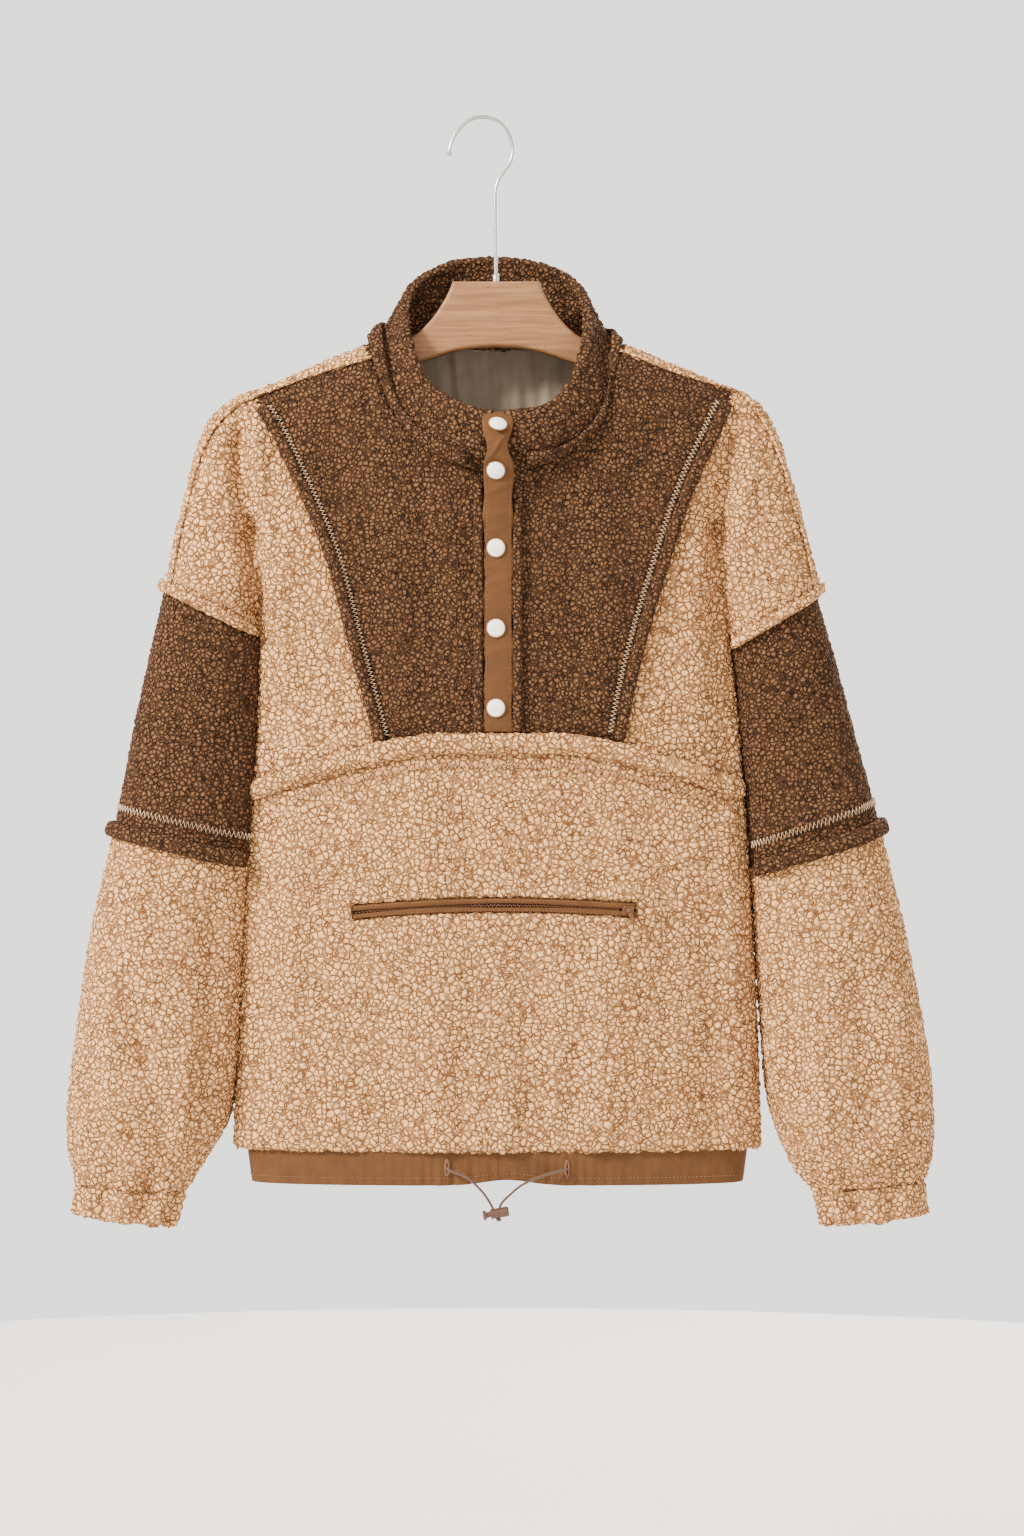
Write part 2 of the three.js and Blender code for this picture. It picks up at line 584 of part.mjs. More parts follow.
function sleeveEdge(side, from, to) {
  const loops = [];
  for (let i = 0; i <= SLEEVE_EDGE.steps; i += 1) {
    const angle = mix(SLEEVE_EDGE.from, SLEEVE_EDGE.to, i / SLEEVE_EDGE.steps);
    const at = (share, lift) => sleevePoint(side, angle, mix(from, to, share), -lift);
    const high = STRIP_LIFT + STRIP;
    loops.push([
      at(0, STRIP_LIFT), at(0, high * 0.7), at(0.3, high), at(0.7, high), at(1, high * 0.7),
      at(1, STRIP_LIFT),
    ]);
  }
  return loft(loops);
}

// The raised edge of a seam that runs down the front, along a line of x and z.
function frontEdge(line, width, thick, lift, surface = frontPoint) {
  const half = width / 2;
  const sides = [-1, -0.6, 0.6, 1].map((s) => ({ s, line: shifted(line, s * half) }));
  const loops = line.map((_, i) => {
    const spot = (k, up) => surface(sides[k].line[i][0], sides[k].line[i][1], up);
    return [
      spot(0, lift), spot(0, lift + thick * 0.6), spot(1, lift + thick), spot(2, lift + thick),
      spot(3, lift + thick * 0.6), spot(3, lift),
    ];
  });
  return loft(loops);
}

// Even steps along a line of few points.
function resampled(line, count) {
  const curve = new THREE.CatmullRomCurve3(line.map(([x, z]) => point(x, 0, z)), false, 'centripetal');
  return curve.getSpacedPoints(count).map((p) => [p.x, p.z]);
}

// The raised edge over the arched seam, from fold to fold.
const ARCH_EDGE = { width: 15, reach: 1.42, steps: 26 };

function archEdge() {
  const loops = [];
  const { width, reach, steps } = ARCH_EDGE;
  for (let i = 0; i <= steps; i += 1) {
    const angle = mix(-reach, reach, i / steps);
    const at = (across, lift) => {
      let spot = point(0, 0, ARCH_TOP_Z);
      for (let turn = 0; turn < 4; turn += 1) {
        const z = archZ(spot.x) + across * width;
        const top = ridgeZ(spot.x);
        spot = bodyPoint(angle, (top - z) / (top - HEM_Z), -lift);
      }
      return spot;
    };
    const high = STRIP_LIFT + STRIP;
    loops.push([
      at(-0.5, STRIP_LIFT), at(-0.5, high * 0.7), at(-0.3, high), at(0.3, high), at(0.5, high * 0.7),
      at(0.5, STRIP_LIFT),
    ]);
  }
  return loft(loops);
}

// Collar wall by station and height: through the neck seam, the bulge and the rim.
function collarPoint(station, height, inward, up = 0) {
  const rows = collarRows.map((r, i) => ({ ...r, i }));
  const at = (name) => column(rows, 'i', station, name);
  const back = station > COLLAR_SIDES[0] && station < COLLAR_SIDES[1];
  const [bx, bz] = [at('bx'), back ? NECK_BACK_Z : at('bz')];
  const depth = Math.max(bodyDepth(bx, bz, 0, back ? -1 : 1) - 1, 0);
  const base = point(bx, back ? depth : -depth, bz);
  const bulge = point(at('mx'), at('my'), at('mz'));
  const rim = point(at('tx'), at('ty'), at('tz'));
  const spot = base.multiplyScalar((1 - height) * (1 - 2 * height));
  spot.addScaledVector(bulge, 4 * height * (1 - height));
  spot.addScaledVector(rim, height * (2 * height - 1));
  const toAxis = point(2 - spot.x, -4 - spot.y, 0).normalize();
  return spot.addScaledVector(toAxis, inward).add(point(0, 0, up));
}

// A point lifted off the collar's outside, square to it.
function collarLifted(station, height, lift) {
  const spot = collarPoint(station, height, 0);
  const along = collarPoint(station + 0.1, height, 0).sub(collarPoint(station - 0.1, height, 0));
  const up = collarPoint(station, height + 0.02, 0).sub(collarPoint(station, height - 0.02, 0));
  return spot.addScaledVector(along.cross(up).normalize(), -lift);
}

// Stations of the collar's loops, twice as close where the seam crosses the shoulders.
const collarStations = Array.from({ length: 73 }, (_, i) => i / 4).filter((s) =>
  Number.isInteger(2 * s) || COLLAR_SIDES.some((side) => Math.abs(s - side) < 1.6));

function collar() {
  const half = COLLAR_WALL / 2;
  const loops = collarStations.map((s) => {
    const outside = [0, 0.16, 0.36, 0.66, 1].map((h) => collarPoint(s, h, 0));
    const rim = [0.25, 0.5, 0.75].map((t) => {
      const turn = Math.PI * t;
      return collarPoint(s, 1, half * (1 - Math.cos(turn)), half * Math.sin(turn));
    });
    const inside = [1, 0.66, 0.36, 0.16, 0].map((h) => collarPoint(s, h, COLLAR_WALL));
    return [...outside, ...rim, ...inside];
  });
  return loft(loops);
}

function collarEdge() {
  const low = STRIP_LIFT + 0.9;
  const high = low + STRIP;
  const loops = collarStations.filter((s) => s >= 1 && s <= 17).map((s) => {
    const at = (h, lift) => collarLifted(s, h, lift);
    return [at(0.06, low), at(0.06, high * 0.7), at(0.12, high), at(0.26, high),
      at(0.36, high * 0.7), at(0.36, low)];
  });
  return loft(loops);
}

// Placket strip: over the collar by its own rows, and below it on the yoke.
const placketRows = () => {
  const rows = placketTop.map((r) => ({ ...r }));
  const steps = 9;
  for (let i = 1; i <= steps; i += 1) {
    const z = mix(placketTop.at(-1).z, PLACKET.bottom, i / steps);
    const y = -bodyDepth(2, z, 0, 1) - PLACKET.lift;
    rows.push({ z, left: PLACKET.left, right: PLACKET.right, y });
  }
  return rows;
};

function placket() {
  const loops = placketRows().map(({ z, left, right, y }) => {
    const middle = (left + right) / 2;
    const edge = y + 0.5;
    return [
      point(left, edge, z), point(left, edge - WOVEN, z), point(middle, y - WOVEN, z),
      point(right, edge - WOVEN, z), point(right, edge, z), point(middle, y, z),
    ];
  });
  return loft(loops);
}

function placketEdge(from, to) {
  const line = Array.from({ length: 9 }, (_, i) => [(from + to) / 2, mix(-293, -491, i / 8)]);
  return frontEdge(line, to - from, STRIP, STRIP_LIFT);
}

// A snap cap: a low dome with a flat underside, standing out along +Z of its own frame.
function snapCap() {
  const { radius, height } = SNAP;
  const profile = [
    [0, 0], [radius - 0.5, 0], [radius, 0.6], [radius - 0.6, 1.5], [radius * 0.7, height - 0.2],
    [0, height],
  ];
  return new THREE.LatheGeometry(profile.map(([r, h]) => new THREE.Vector2(r, h)), 14).rotateX(Math.PI / 2);
}

function placeSnap(mesh, { x, z, tilt }) {
  const rows = placketRows();
  const y = column(rows, 'z', z, 'y') - WOVEN - GAP;
  const slope = (column(rows, 'z', z + 4, 'y') - column(rows, 'z', z - 4, 'y')) / 8;
  const stand = point(Math.sin(tilt) * 0.3, -1, slope + tilt * 0.4).normalize();
  mesh.position.set(x, y - 0.4 - Math.abs(tilt) * 2.4, z);
  mesh.quaternion.setFromUnitVectors(point(0, 0, 1), stand);
}

// Pocket: two woven welts in the window, the zip behind them, the slider and its pull tab.
function pocketStrip(low, high, under, over, inset = 0.6) {
  const loops = Array.from({ length: 12 }, (_, i) => {
    const x = mix(POCKET.left + inset, POCKET.right - inset, i / 11);
    const at = (up, lift) => frontPoint(x, pocketZ(x) + up, lift);
    return [at(low, under), at(low, over), at(high, over), at(high, under)];
  });
  return loft(loops);
}

const sliderSpot = () => frontPoint(SLIDER.x, pocketZ(SLIDER.x), SLIDER.lift);

// Frame of the slider: X along the zip, Z out of the cloth.
function sliderTurn() {
  const a = frontPoint(SLIDER.x, pocketZ(SLIDER.x), 0);
  const out = frontPoint(SLIDER.x, pocketZ(SLIDER.x), 1).sub(a).normalize();
  const along = frontPoint(SLIDER.x + 4, pocketZ(SLIDER.x + 4), 0).sub(a).normalize();
  const up = out.clone().cross(along).normalize();
  return new THREE.Matrix4().makeBasis(up.clone().cross(out), up, out);
}

function slider() {
  const { length, width, height } = SLIDER;
  const turn = THREE.MathUtils.degToRad(TAB.turn);
  const side = TAB.width / 2 + 0.35;
  const post = 0.9;
  const body = toSolid(new THREE.BoxGeometry(length, width, height).translate(0, 0, height / 2));
  const bar = new THREE.CylinderGeometry(TAB.pin, TAB.pin, 2 * side + post, 10);
  bar.rotateZ(turn).translate(0, 0, height + TAB.rise);
  const rise = TAB.rise + TAB.pin + height / 2;
  const posts = [-1, 1].map((way) => {
    const box = new THREE.BoxGeometry(1.6, post, rise);
    box.translate(0, way * (side + post / 2), height / 2 + rise / 2);
    return toSolid(box.rotateZ(turn));
  });
  return toGeometry(body.add(toSolid(bar)).add(posts[0]).add(posts[1]));
}

// The tab: a ring round the slider's bar that runs out into a flat grip along its own +X.
function pullTab() {
  const { length, thick, ring, hole, width } = TAB;
  const flat = Math.asin(thick / 2 / ring);
  const shape = new THREE.Shape();
  shape.absarc(0, 0, ring, flat, 2 * Math.PI - flat, false);
  shape.lineTo(length, -thick / 2);
  shape.lineTo(length, thick / 2);
  const bore = new THREE.Path();
  bore.absarc(0, 0, hole, 0, 2 * Math.PI, true);
  shape.holes.push(bore);
  const geometry = new THREE.ExtrudeGeometry(shape, { depth: width, bevelEnabled: false, curveSegments: 10 });
  return geometry.translate(0, 0, -width / 2).rotateX(Math.PI / 2);
}

// Hem casing: a flat band round the hem that tapers a little.
function hemBand() {
  const { top, bottom, halfTop, halfBottom, front, back } = HEM_BAND;
  const loop = (share, inset) => angles(BODY_AROUND.outside).map((a) => {
    const half = mix(halfTop, halfBottom, share) - inset;
    const across = signedPower(Math.sin(a), 2 / BODY_SQUARE);
    const deep = signedPower(Math.cos(a), 2 / BODY_SQUARE);
    const depth = (deep > 0 ? front : back) - inset - share;
    return point(1.2 + half * across, -depth * deep, mix(top, bottom, share));
  });
  const shares = [0, 1];
  return wall(shares.map((s) => loop(s, 0)), shares.map((s) => loop(s, WOVEN)));
}

// Back lining where the neck shows it, just inside the back panel.
function lining() {
  const grid = (inset) => Array.from({ length: 6 }, (_, i) => mix(-192, -320, i / 5)).map((z) =>
    Array.from({ length: 9 }, (_, j) => mix(-76, 76, j / 8)).map((x) =>
      point(x, bodyDepth(x, z, inset, -1), z)));
  return slab(grid(FLEECE + LINING_LIFT + LINING), grid(FLEECE + LINING_LIFT));
}

function wireAlong(points, { radius, segments, sides }) {
  const path = new THREE.CatmullRomCurve3(points, false, 'centripetal');
  const circle = new THREE.Shape(angles(sides).map((a) =>
    new THREE.Vector2(radius * Math.cos(a), radius * Math.sin(a))));
  return new THREE.ExtrudeGeometry(circle, { steps: segments, bevelEnabled: false, extrudePath: path });
}

function hook() {
  const wire = toSolid(wireAlong(wirePath.map(([x, z]) => point(x, 0, z)), WIRE));
  const ball = toSolid(new THREE.SphereGeometry(BALL, 8, 6).translate(wirePath[0][0], 0, wirePath[0][1] - 1));
  return toGeometry(wire.add(ball));
}

function hangerBoard() {
  const right = [...boardTop, ...boardBottom];
  const left = right.slice(1, -1).map(([x, z]) => [-x, z]).reverse();
  const outline = [...right, ...left];
  const shape = new THREE.Shape(outline.map(([x, z]) => new THREE.Vector2(x, z)));
  const { thick, bevel } = BOARD;
  const board = new THREE.ExtrudeGeometry(shape, {
    depth: thick - 2 * bevel, bevelThickness: bevel, bevelSize: bevel, bevelOffset: -bevel, bevelSegments: 1,
  });
  board.rotateX(Math.PI / 2).translate(0, thick / 2 - bevel, 0);
  const bore = new THREE.CylinderGeometry(WIRE.radius + GAP, WIRE.radius + GAP, 30, 16);
  bore.rotateX(Math.PI / 2).translate(0, 0, boardTop[0][1]);
  return toGeometry(toSolid(board).subtract(toSolid(bore)));
}

// Cord lock: a barrel with a blind bore, and a plunger whose head stands out of it, along +X.
function lockBarrel() {
  const { radius, bore } = LOCK;
  const { left, right, bottomOfBore } = LOCK_SPAN;
  const profile = [
    [0, bottomOfBore], [bore, bottomOfBore], [bore, left], [radius - 0.5, left], [radius, left + 0.5],
    [radius, right - 0.8], [radius - 0.8, right], [0, right],
  ];
  return alongX(profile);
}

function lockPlunger() {
  const { shaft, head } = LOCK;
  const { headOut, headIn, shaftEnd } = LOCK_SPAN;
  const profile = [
    [0, headOut], [head - 0.6, headOut], [head, headOut + 0.6], [head, headIn], [shaft, headIn],
    [shaft, shaftEnd], [0, shaftEnd],
  ];
  return alongX(profile);
}

function alongX(profile) {
  const lathe = new THREE.LatheGeometry(profile.map(([r, h]) => new THREE.Vector2(r, h)), 14);
  return outward(toIndexed(lathe.rotateZ(-Math.PI / 2)));
}

function toIndexed(geometry) {
  geometry.deleteAttribute('normal');
  geometry.deleteAttribute('uv');
  const merged = mergeVertices(geometry, MERGE);
  const index = merged.index.array;
  const kept = [];
  for (let i = 0; i < index.length; i += 3) {
    const corners = [index[i], index[i + 1], index[i + 2]];
    if (new Set(corners).size === 3) kept.push(...corners);
  }
  merged.setIndex(kept);
  return merged;
}

const pullover = new THREE.Group();
const garment = new THREE.Group();
garment.position.x = SHANK_X;
pullover.add(garment);

function add(name, geometry, look) {
  const mesh = new THREE.Mesh(geometry, new THREE.MeshStandardMaterial(look));
  mesh.name = name;
  garment.add(mesh);
  return mesh;
}

const panels = bodyPanels();
add('yoke_left', panels.yoke_left, brownFleece);
add('yoke_right', panels.yoke_right, brownFleece);
add('side_left', panels.side_left, creamFleece);
add('side_right', panels.side_right, creamFleece);
add('lower_front', panels.lower_front, creamFleece);
add('back_panel', panels.back_panel, creamFleece);

for (const side of ['left', 'right']) {
  const bandRows = [DROP_SEAM + ROW_GAP, 7, 8, BAND_SEAM - ROW_GAP];
  const lowRows = [BAND_SEAM + ROW_GAP, 10.5, 12.2, 13.5, 14.3, CUFF_SEAM - ROW_GAP];
  const cuffRows = [CUFF_SEAM + ROW_GAP * 2, CUFF_EDGE];
  add(`sleeve_band_${side}`, sleeveWall(side, bandRows, SLEEVE_AROUND.outside, false), brownFleece);
  add(`sleeve_lower_${side}`, sleeveWall(side, lowRows, GATHER_AROUND, true), creamFleece);
  add(`cuff_${side}`, sleeveWall(side, cuffRows, GATHER_AROUND, true), creamFleece);
  add(`drop_edge_${side}`, sleeveEdge(side, DROP_SEAM - 0.12, DROP_SEAM + 0.1), creamFleece);
  add(`band_edge_${side}`, sleeveEdge(side, BAND_SEAM - 0.02, BAND_SEAM + 0.15), brownFleece);
  const yokeLine = resampled(yokeSeam[side], 18).slice(1, -1);
  add(`yoke_edge_${side}`, frontEdge(yokeLine, 10, STRIP, STRIP_LIFT), brownFleece);
}
add('arch_edge', archEdge(), creamFleece);

add('collar', collar(), brownFleece);
add('collar_edge', collarEdge(), brownFleece);
add('lining', lining(), taupeLining);

add('placket', placket(), brownWoven);
add('placket_edge_left', placketEdge(-17.6, -9.9), brownFleece);
add('placket_edge_right', placketEdge(14.1, 20.6), brownFleece);
snapCaps.forEach((cap, i) => placeSnap(add(`snap_${i + 1}`, snapCap(), ivoryPlastic), cap));

add('hem_band', hemBand(), brownWoven);
add('pocket_welt_upper', pocketStrip(0.5, 5.8, -3, -1), brownWoven);
add('pocket_welt_lower', pocketStrip(-4.8, -0.5, -3, -1), brownWoven);
add('zip_tape', pocketStrip(-4.8, 5.8, -4.9, -3.4), brownWoven);

const sliderMesh = add('zip_slider', slider(), brownMetal);
sliderMesh.position.copy(sliderSpot());
sliderMesh.quaternion.setFromRotationMatrix(sliderTurn());
const tabMesh = add('pull_tab', pullTab(), brownMetal);
const tabLift = point(0, 0, SLIDER.height + TAB.rise).applyQuaternion(sliderMesh.quaternion);
tabMesh.position.copy(sliderMesh.position).add(tabLift);
const tabTurn = new THREE.Quaternion().setFromAxisAngle(point(0, 0, 1), THREE.MathUtils.degToRad(TAB.turn));
tabMesh.quaternion.copy(sliderMesh.quaternion).multiply(tabTurn);

for (const side of ['left', 'right']) {
  const path = cordPaths[side].map(([x, y, z]) => point(x, y, z));
  add(`cord_${side}`, wireAlong(path, CORD), brownPlastic);
}
for (const [name, geometry] of [['lock_barrel', lockBarrel()], ['lock_plunger', lockPlunger()]]) {
  const mesh = add(name, geometry, brownPlastic);
  mesh.position.set(LOCK.x, LOCK.y, LOCK.z);
  mesh.rotation.y = -THREE.MathUtils.degToRad(LOCK.tilt);
}
const knot = add('cord_knot', new THREE.SphereGeometry(2.2, 8, 6), brownPlastic);
knot.position.set(LOCK.x + 0.9, LOCK.y, LOCK.z - LOCK.radius - 2.2 - GAP - 0.1);

add('hanger_board', hangerBoard(), beech);
add('hanger_hook', hook(), steel);

export default pullover;
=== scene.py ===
# Sherpa fleece pullover on its wooden hanger: cloth, pile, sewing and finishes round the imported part.
# Shapes are worked out in millimetres from the hanger's shank and put into the frame by place().
import json
import math

import bpy
import numpy as np
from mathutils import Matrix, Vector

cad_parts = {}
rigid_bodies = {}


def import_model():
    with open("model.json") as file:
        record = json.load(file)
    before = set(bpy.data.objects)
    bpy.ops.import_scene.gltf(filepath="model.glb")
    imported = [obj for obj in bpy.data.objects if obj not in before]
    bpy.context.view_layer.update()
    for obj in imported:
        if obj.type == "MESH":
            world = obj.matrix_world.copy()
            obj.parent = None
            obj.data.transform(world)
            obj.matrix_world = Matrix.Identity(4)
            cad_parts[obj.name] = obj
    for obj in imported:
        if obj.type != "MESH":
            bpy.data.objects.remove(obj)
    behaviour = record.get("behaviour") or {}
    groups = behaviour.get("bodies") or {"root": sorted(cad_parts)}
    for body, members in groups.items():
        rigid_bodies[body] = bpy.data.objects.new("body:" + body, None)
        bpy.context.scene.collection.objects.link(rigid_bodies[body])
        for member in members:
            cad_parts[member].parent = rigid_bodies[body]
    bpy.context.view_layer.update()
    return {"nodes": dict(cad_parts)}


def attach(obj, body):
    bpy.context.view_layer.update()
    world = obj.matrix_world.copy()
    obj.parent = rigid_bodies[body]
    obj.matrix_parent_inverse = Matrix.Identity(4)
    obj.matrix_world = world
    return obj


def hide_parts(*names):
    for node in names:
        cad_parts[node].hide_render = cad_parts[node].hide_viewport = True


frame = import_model()
body = "pullover"
shankX = 11.0
metre = 0.001

# Camera straight in front, as far off as the picture's perspective asks.
print("camera and light")
eye = {"x": 0.0238, "y": -2.6, "z": -0.5192, "frameHeight": 1.2288, "sensor": 36.0}
cameraData = bpy.data.cameras.new("camera")
cameraData.sensor_width = eye["sensor"]
cameraData.lens = -eye["y"] * eye["sensor"] / eye["frameHeight"]
camera = bpy.data.objects.new("camera", cameraData)
camera.location = (eye["x"], eye["y"], eye["z"])
camera.rotation_euler = (math.pi / 2, 0, 0)
bpy.context.scene.collection.objects.link(camera)
bpy.context.scene.camera = camera


# Mesh helpers: millimetres to the frame, arrays to a mesh, and closed skins.
def place(points):
    return (np.asarray(points, float) + (shankX, 0.0, 0.0)) * metre


def meshOf(name, points, faceSets):
    faceSets = [np.asarray(faces) for faces in faceSets if len(faces)]
    loops = np.concatenate([faces.ravel() for faces in faceSets])
    used, loops = np.unique(loops, return_inverse=True)
    sizes = np.concatenate([np.full(len(faces), faces.shape[1]) for faces in faceSets])
    mesh = bpy.data.meshes.new(name)
    mesh.vertices.add(len(used))
    mesh.vertices.foreach_set("co", place(points)[used].astype(np.float32).ravel())
    mesh.loops.add(len(loops))
    mesh.loops.foreach_set("vertex_index", loops.ravel().astype(np.int32))
    mesh.polygons.add(len(sizes))
    mesh.polygons.foreach_set("loop_start", (np.cumsum(sizes) - sizes).astype(np.int32))
    mesh.update(calc_edges=True)
    mesh.shade_smooth()
    return mesh, used


def makePiece(name, points, faceSets, finish, stands=(), pile=None, uv=None, ridesOn=body):
    points = np.asarray(points, float).reshape(-1, 3)
    mesh, used = meshOf(name, points, faceSets)
    # The pile attribute is what painted shade reads: the fleece turns to its crease colour where it is low,
    # and the snap caps to their dark shadow ring where it is one.
    if pile is not None:
        layer = mesh.attributes.new("pile", "FLOAT", "POINT")
        layer.data.foreach_set("value", np.asarray(pile, np.float32).ravel()[used])
    if uv is not None:
        corner = np.zeros(len(mesh.loops), np.int32)
        mesh.loops.foreach_get("vertex_index", corner)
        layer = mesh.uv_layers.new(name="along")
        layer.data.foreach_set("uv", np.asarray(uv, np.float32).reshape(-1, 2)[used][corner].ravel())
    mesh.materials.append(finish.material)
    piece = bpy.data.objects.new(name, mesh)
    bpy.context.scene.collection.objects.link(piece)
    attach(piece, ridesOn)
    if stands:
        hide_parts(*stands)
    return piece


# Faces of a grid of rows and columns, closed round its columns or its rows where it is a ring.
def gridFaces(rows, columns, ringRows=False, ringColumns=False, start=0):
    i = np.arange(rows if ringRows else rows - 1)
    j = np.arange(columns if ringColumns else columns - 1)
    i, j = (a.ravel() for a in np.meshgrid(i, j, indexing="ij"))
    down, right = (i + 1) % rows, (j + 1) % columns
    corners = [i * columns + j, i * columns + right, down * columns + right, down * columns + j]
    return np.stack(corners, axis=1) + start


# A tube's skin: rings of points, each a column ring, closed by one flat face at either end.
def tubeFaces(rows, columns, start=0):
    first = np.arange(columns)[::-1] + start
    last = np.arange(columns) + (rows - 1) * columns + start
    return [gridFaces(rows, columns, ringColumns=True, start=start), [first], [last]]


# Each vector over its own length.
def unit(vectors):
    return vectors / np.maximum(np.linalg.norm(vectors, axis=-1, keepdims=True), 1e-9)


# Normals of a grid: its step along the columns crossed with its step along the rows.
def gridNormals(points, ringColumns=False):
    down = np.gradient(points, axis=0)
    across = np.gradient(points, axis=1)
    if ringColumns:
        across = np.roll(points, -1, axis=1) - np.roll(points, 1, axis=1)
    return unit(np.cross(across, down))


# A wall of cloth: fine quads outside, a plain inner skin at half the count, and a rim round both,
# on the blocks of two by two quads that keep marks.
def wallFaces(outerShape, keep, ringColumns, start=0):
    rows, columns = outerShape
    blocksAcross = keep.shape[1]
    innerColumns = blocksAcross if ringColumns else blocksAcross + 1
    innerStart = start + rows * columns
    top, left = np.nonzero(keep)

    def outer(r, c):
        return start + (2 * top + r) * columns + (2 * left + c) % columns

    def inner(r, c):
        return innerStart + (top + r) * innerColumns + (left + c) % innerColumns

    quads = [np.stack([outer(r, c), outer(r, c + 1), outer(r + 1, c + 1), outer(r + 1, c)], axis=1)
             for r in (0, 1) for c in (0, 1)]
    quads.append(np.stack([inner(0, 0), inner(1, 0), inner(1, 1), inner(0, 1)], axis=1))
    empty = np.pad(~keep, 1, constant_values=True)
    if ringColumns:
        empty[1:-1, 0], empty[1:-1, -1] = ~keep[:, -1], ~keep[:, 0]
    sides = [
        (empty[:-2, 1:-1], [(0, 2), (0, 1), (0, 0)], [(0, 0), (0, 1)]),
        (empty[2:, 1:-1], [(2, 0), (2, 1), (2, 2)], [(1, 1), (1, 0)]),
        (empty[1:-1, :-2], [(0, 0), (1, 0), (2, 0)], [(1, 0), (0, 0)]),
        (empty[1:-1, 2:], [(2, 2), (1, 2), (0, 2)], [(0, 1), (1, 1)]),
    ]
    rims = []
    for together, outerCorners, innerCorners in sides:
        corners = [outer(r, c) for r, c in outerCorners] + [inner(r, c) for r, c in innerCorners]
        rims.append(np.stack(corners, axis=1)[together[top, left]])
    return [np.concatenate(quads), np.concatenate(rims)]


# Shader maths: a wire is one socket, and an expression on wires adds the Math nodes.
class Wire:
    def __init__(self, finish, socket):
        self.finish = finish
        self.socket = socket

    def join(self, operation, first, second):
        return self.finish.node("Math", {"operation": operation}, {0: first, 1: second})

    def __add__(self, other):
        return self.join("ADD", self, other)

    def __radd__(self, other):
        return self.join("ADD", other, self)

    def __sub__(self, other):
        return self.join("SUBTRACT", self, other)

    def __rsub__(self, other):
        return self.join("SUBTRACT", other, self)

    def __mul__(self, other):
        return self.join("MULTIPLY", self, other)

    def __rmul__(self, other):
        return self.join("MULTIPLY", other, self)


# Screen colour from 0 to 255 to the light that the shader takes.
def linear(colour):
    share = np.asarray(colour, float) / 255
    dark = share / 12.92
    light = ((share + 0.055) / 1.055) ** 2.4
    return (*np.where(share <= 0.04045, dark, light), 1.0)


class Finish:
    def __init__(self, name, **constants):
        self.material = bpy.data.materials.new(name)
        self.material.use_nodes = True
        self.tree = self.material.node_tree
        self.shader = self.tree.nodes["Principled BSDF"]
        for socket, value in constants.items():
            self.shader.inputs[socket.replace("_", " ")].default_value = value

    # Any node: its settings first, a ramp's stops among them, then values or wires by socket.
    def node(self, kind, settings=None, inputs=None, output=0):
        made = self.tree.nodes.new("ShaderNode" + kind)
        for key, value in (settings or {}).items():
            if key == "stops":
                ramp = made.color_ramp
                while len(ramp.elements) < len(value):
                    ramp.elements.new(0.5)
                for element, (spot, colour) in zip(ramp.elements, value):
                    element.position = spot
                    element.color = colour
            else:
                setattr(made, key, value)
        for key, value in (inputs or {}).items():
            if isinstance(value, Wire):
                self.tree.links.new(value.socket, made.inputs[key])
            else:
                made.inputs[key].default_value = value
        return Wire(self, made.outputs[output])

    def mix(self, share, first, second, blend="MIX"):
        settings = {"data_type": "RGBA", "blend_type": blend, "clamp_factor": True}
        return self.node("Mix", settings, {0: share, 6: first, 7: second}, 2)

    def where(self):
        return self.node("TexCoord", output="Object")

    def noise(self, size, detail=2.0, spot=None):
        spot = spot or self.where()
        return self.node("TexNoise", None, {"Vector": spot, "Scale": 1 / (size * metre), "Detail": detail})

    def cells(self, size, feature="F1", spot=None):
        spot = spot or self.where()
        inputs = {"Vector": spot, "Scale": 1 / (size * metre)}
        return self.node("TexVoronoi", {"feature": feature}, inputs)

    def stretched(self, x, y, z):
        return self.node("Mapping", None, {"Vector": self.where(), "Scale": (x, y, z)})

    # The piece's own UV: across the cloth or round the cord, and along it.
    def ownUv(self):
        parts = self.node("SeparateXYZ", None, {0: self.node("UVMap", {"uv_map": "along"})})
        return parts, Wire(self, parts.socket.node.outputs[1])

    def wave(self, value, pitch):
        return self.node("Math", {"operation": "SINE"}, {0: value * (2 * math.pi / pitch)})

    def step(self, value, low, high):
        settings = {"interpolation_type": "SMOOTHSTEP", "clamp": True}
        return self.node("MapRange", settings, {0: value, 1: low, 2: high, 3: 0.0, 4: 1.0})

    def use(self, socket, wire):
        self.tree.links.new(wire.socket, self.shader.inputs[socket])

    def relief(self, height, depth, strength=1.0):
        inputs = {"Height": height, "Distance": depth * metre, "Strength": strength}
        self.use("Normal", self.node("Bump", None, inputs))
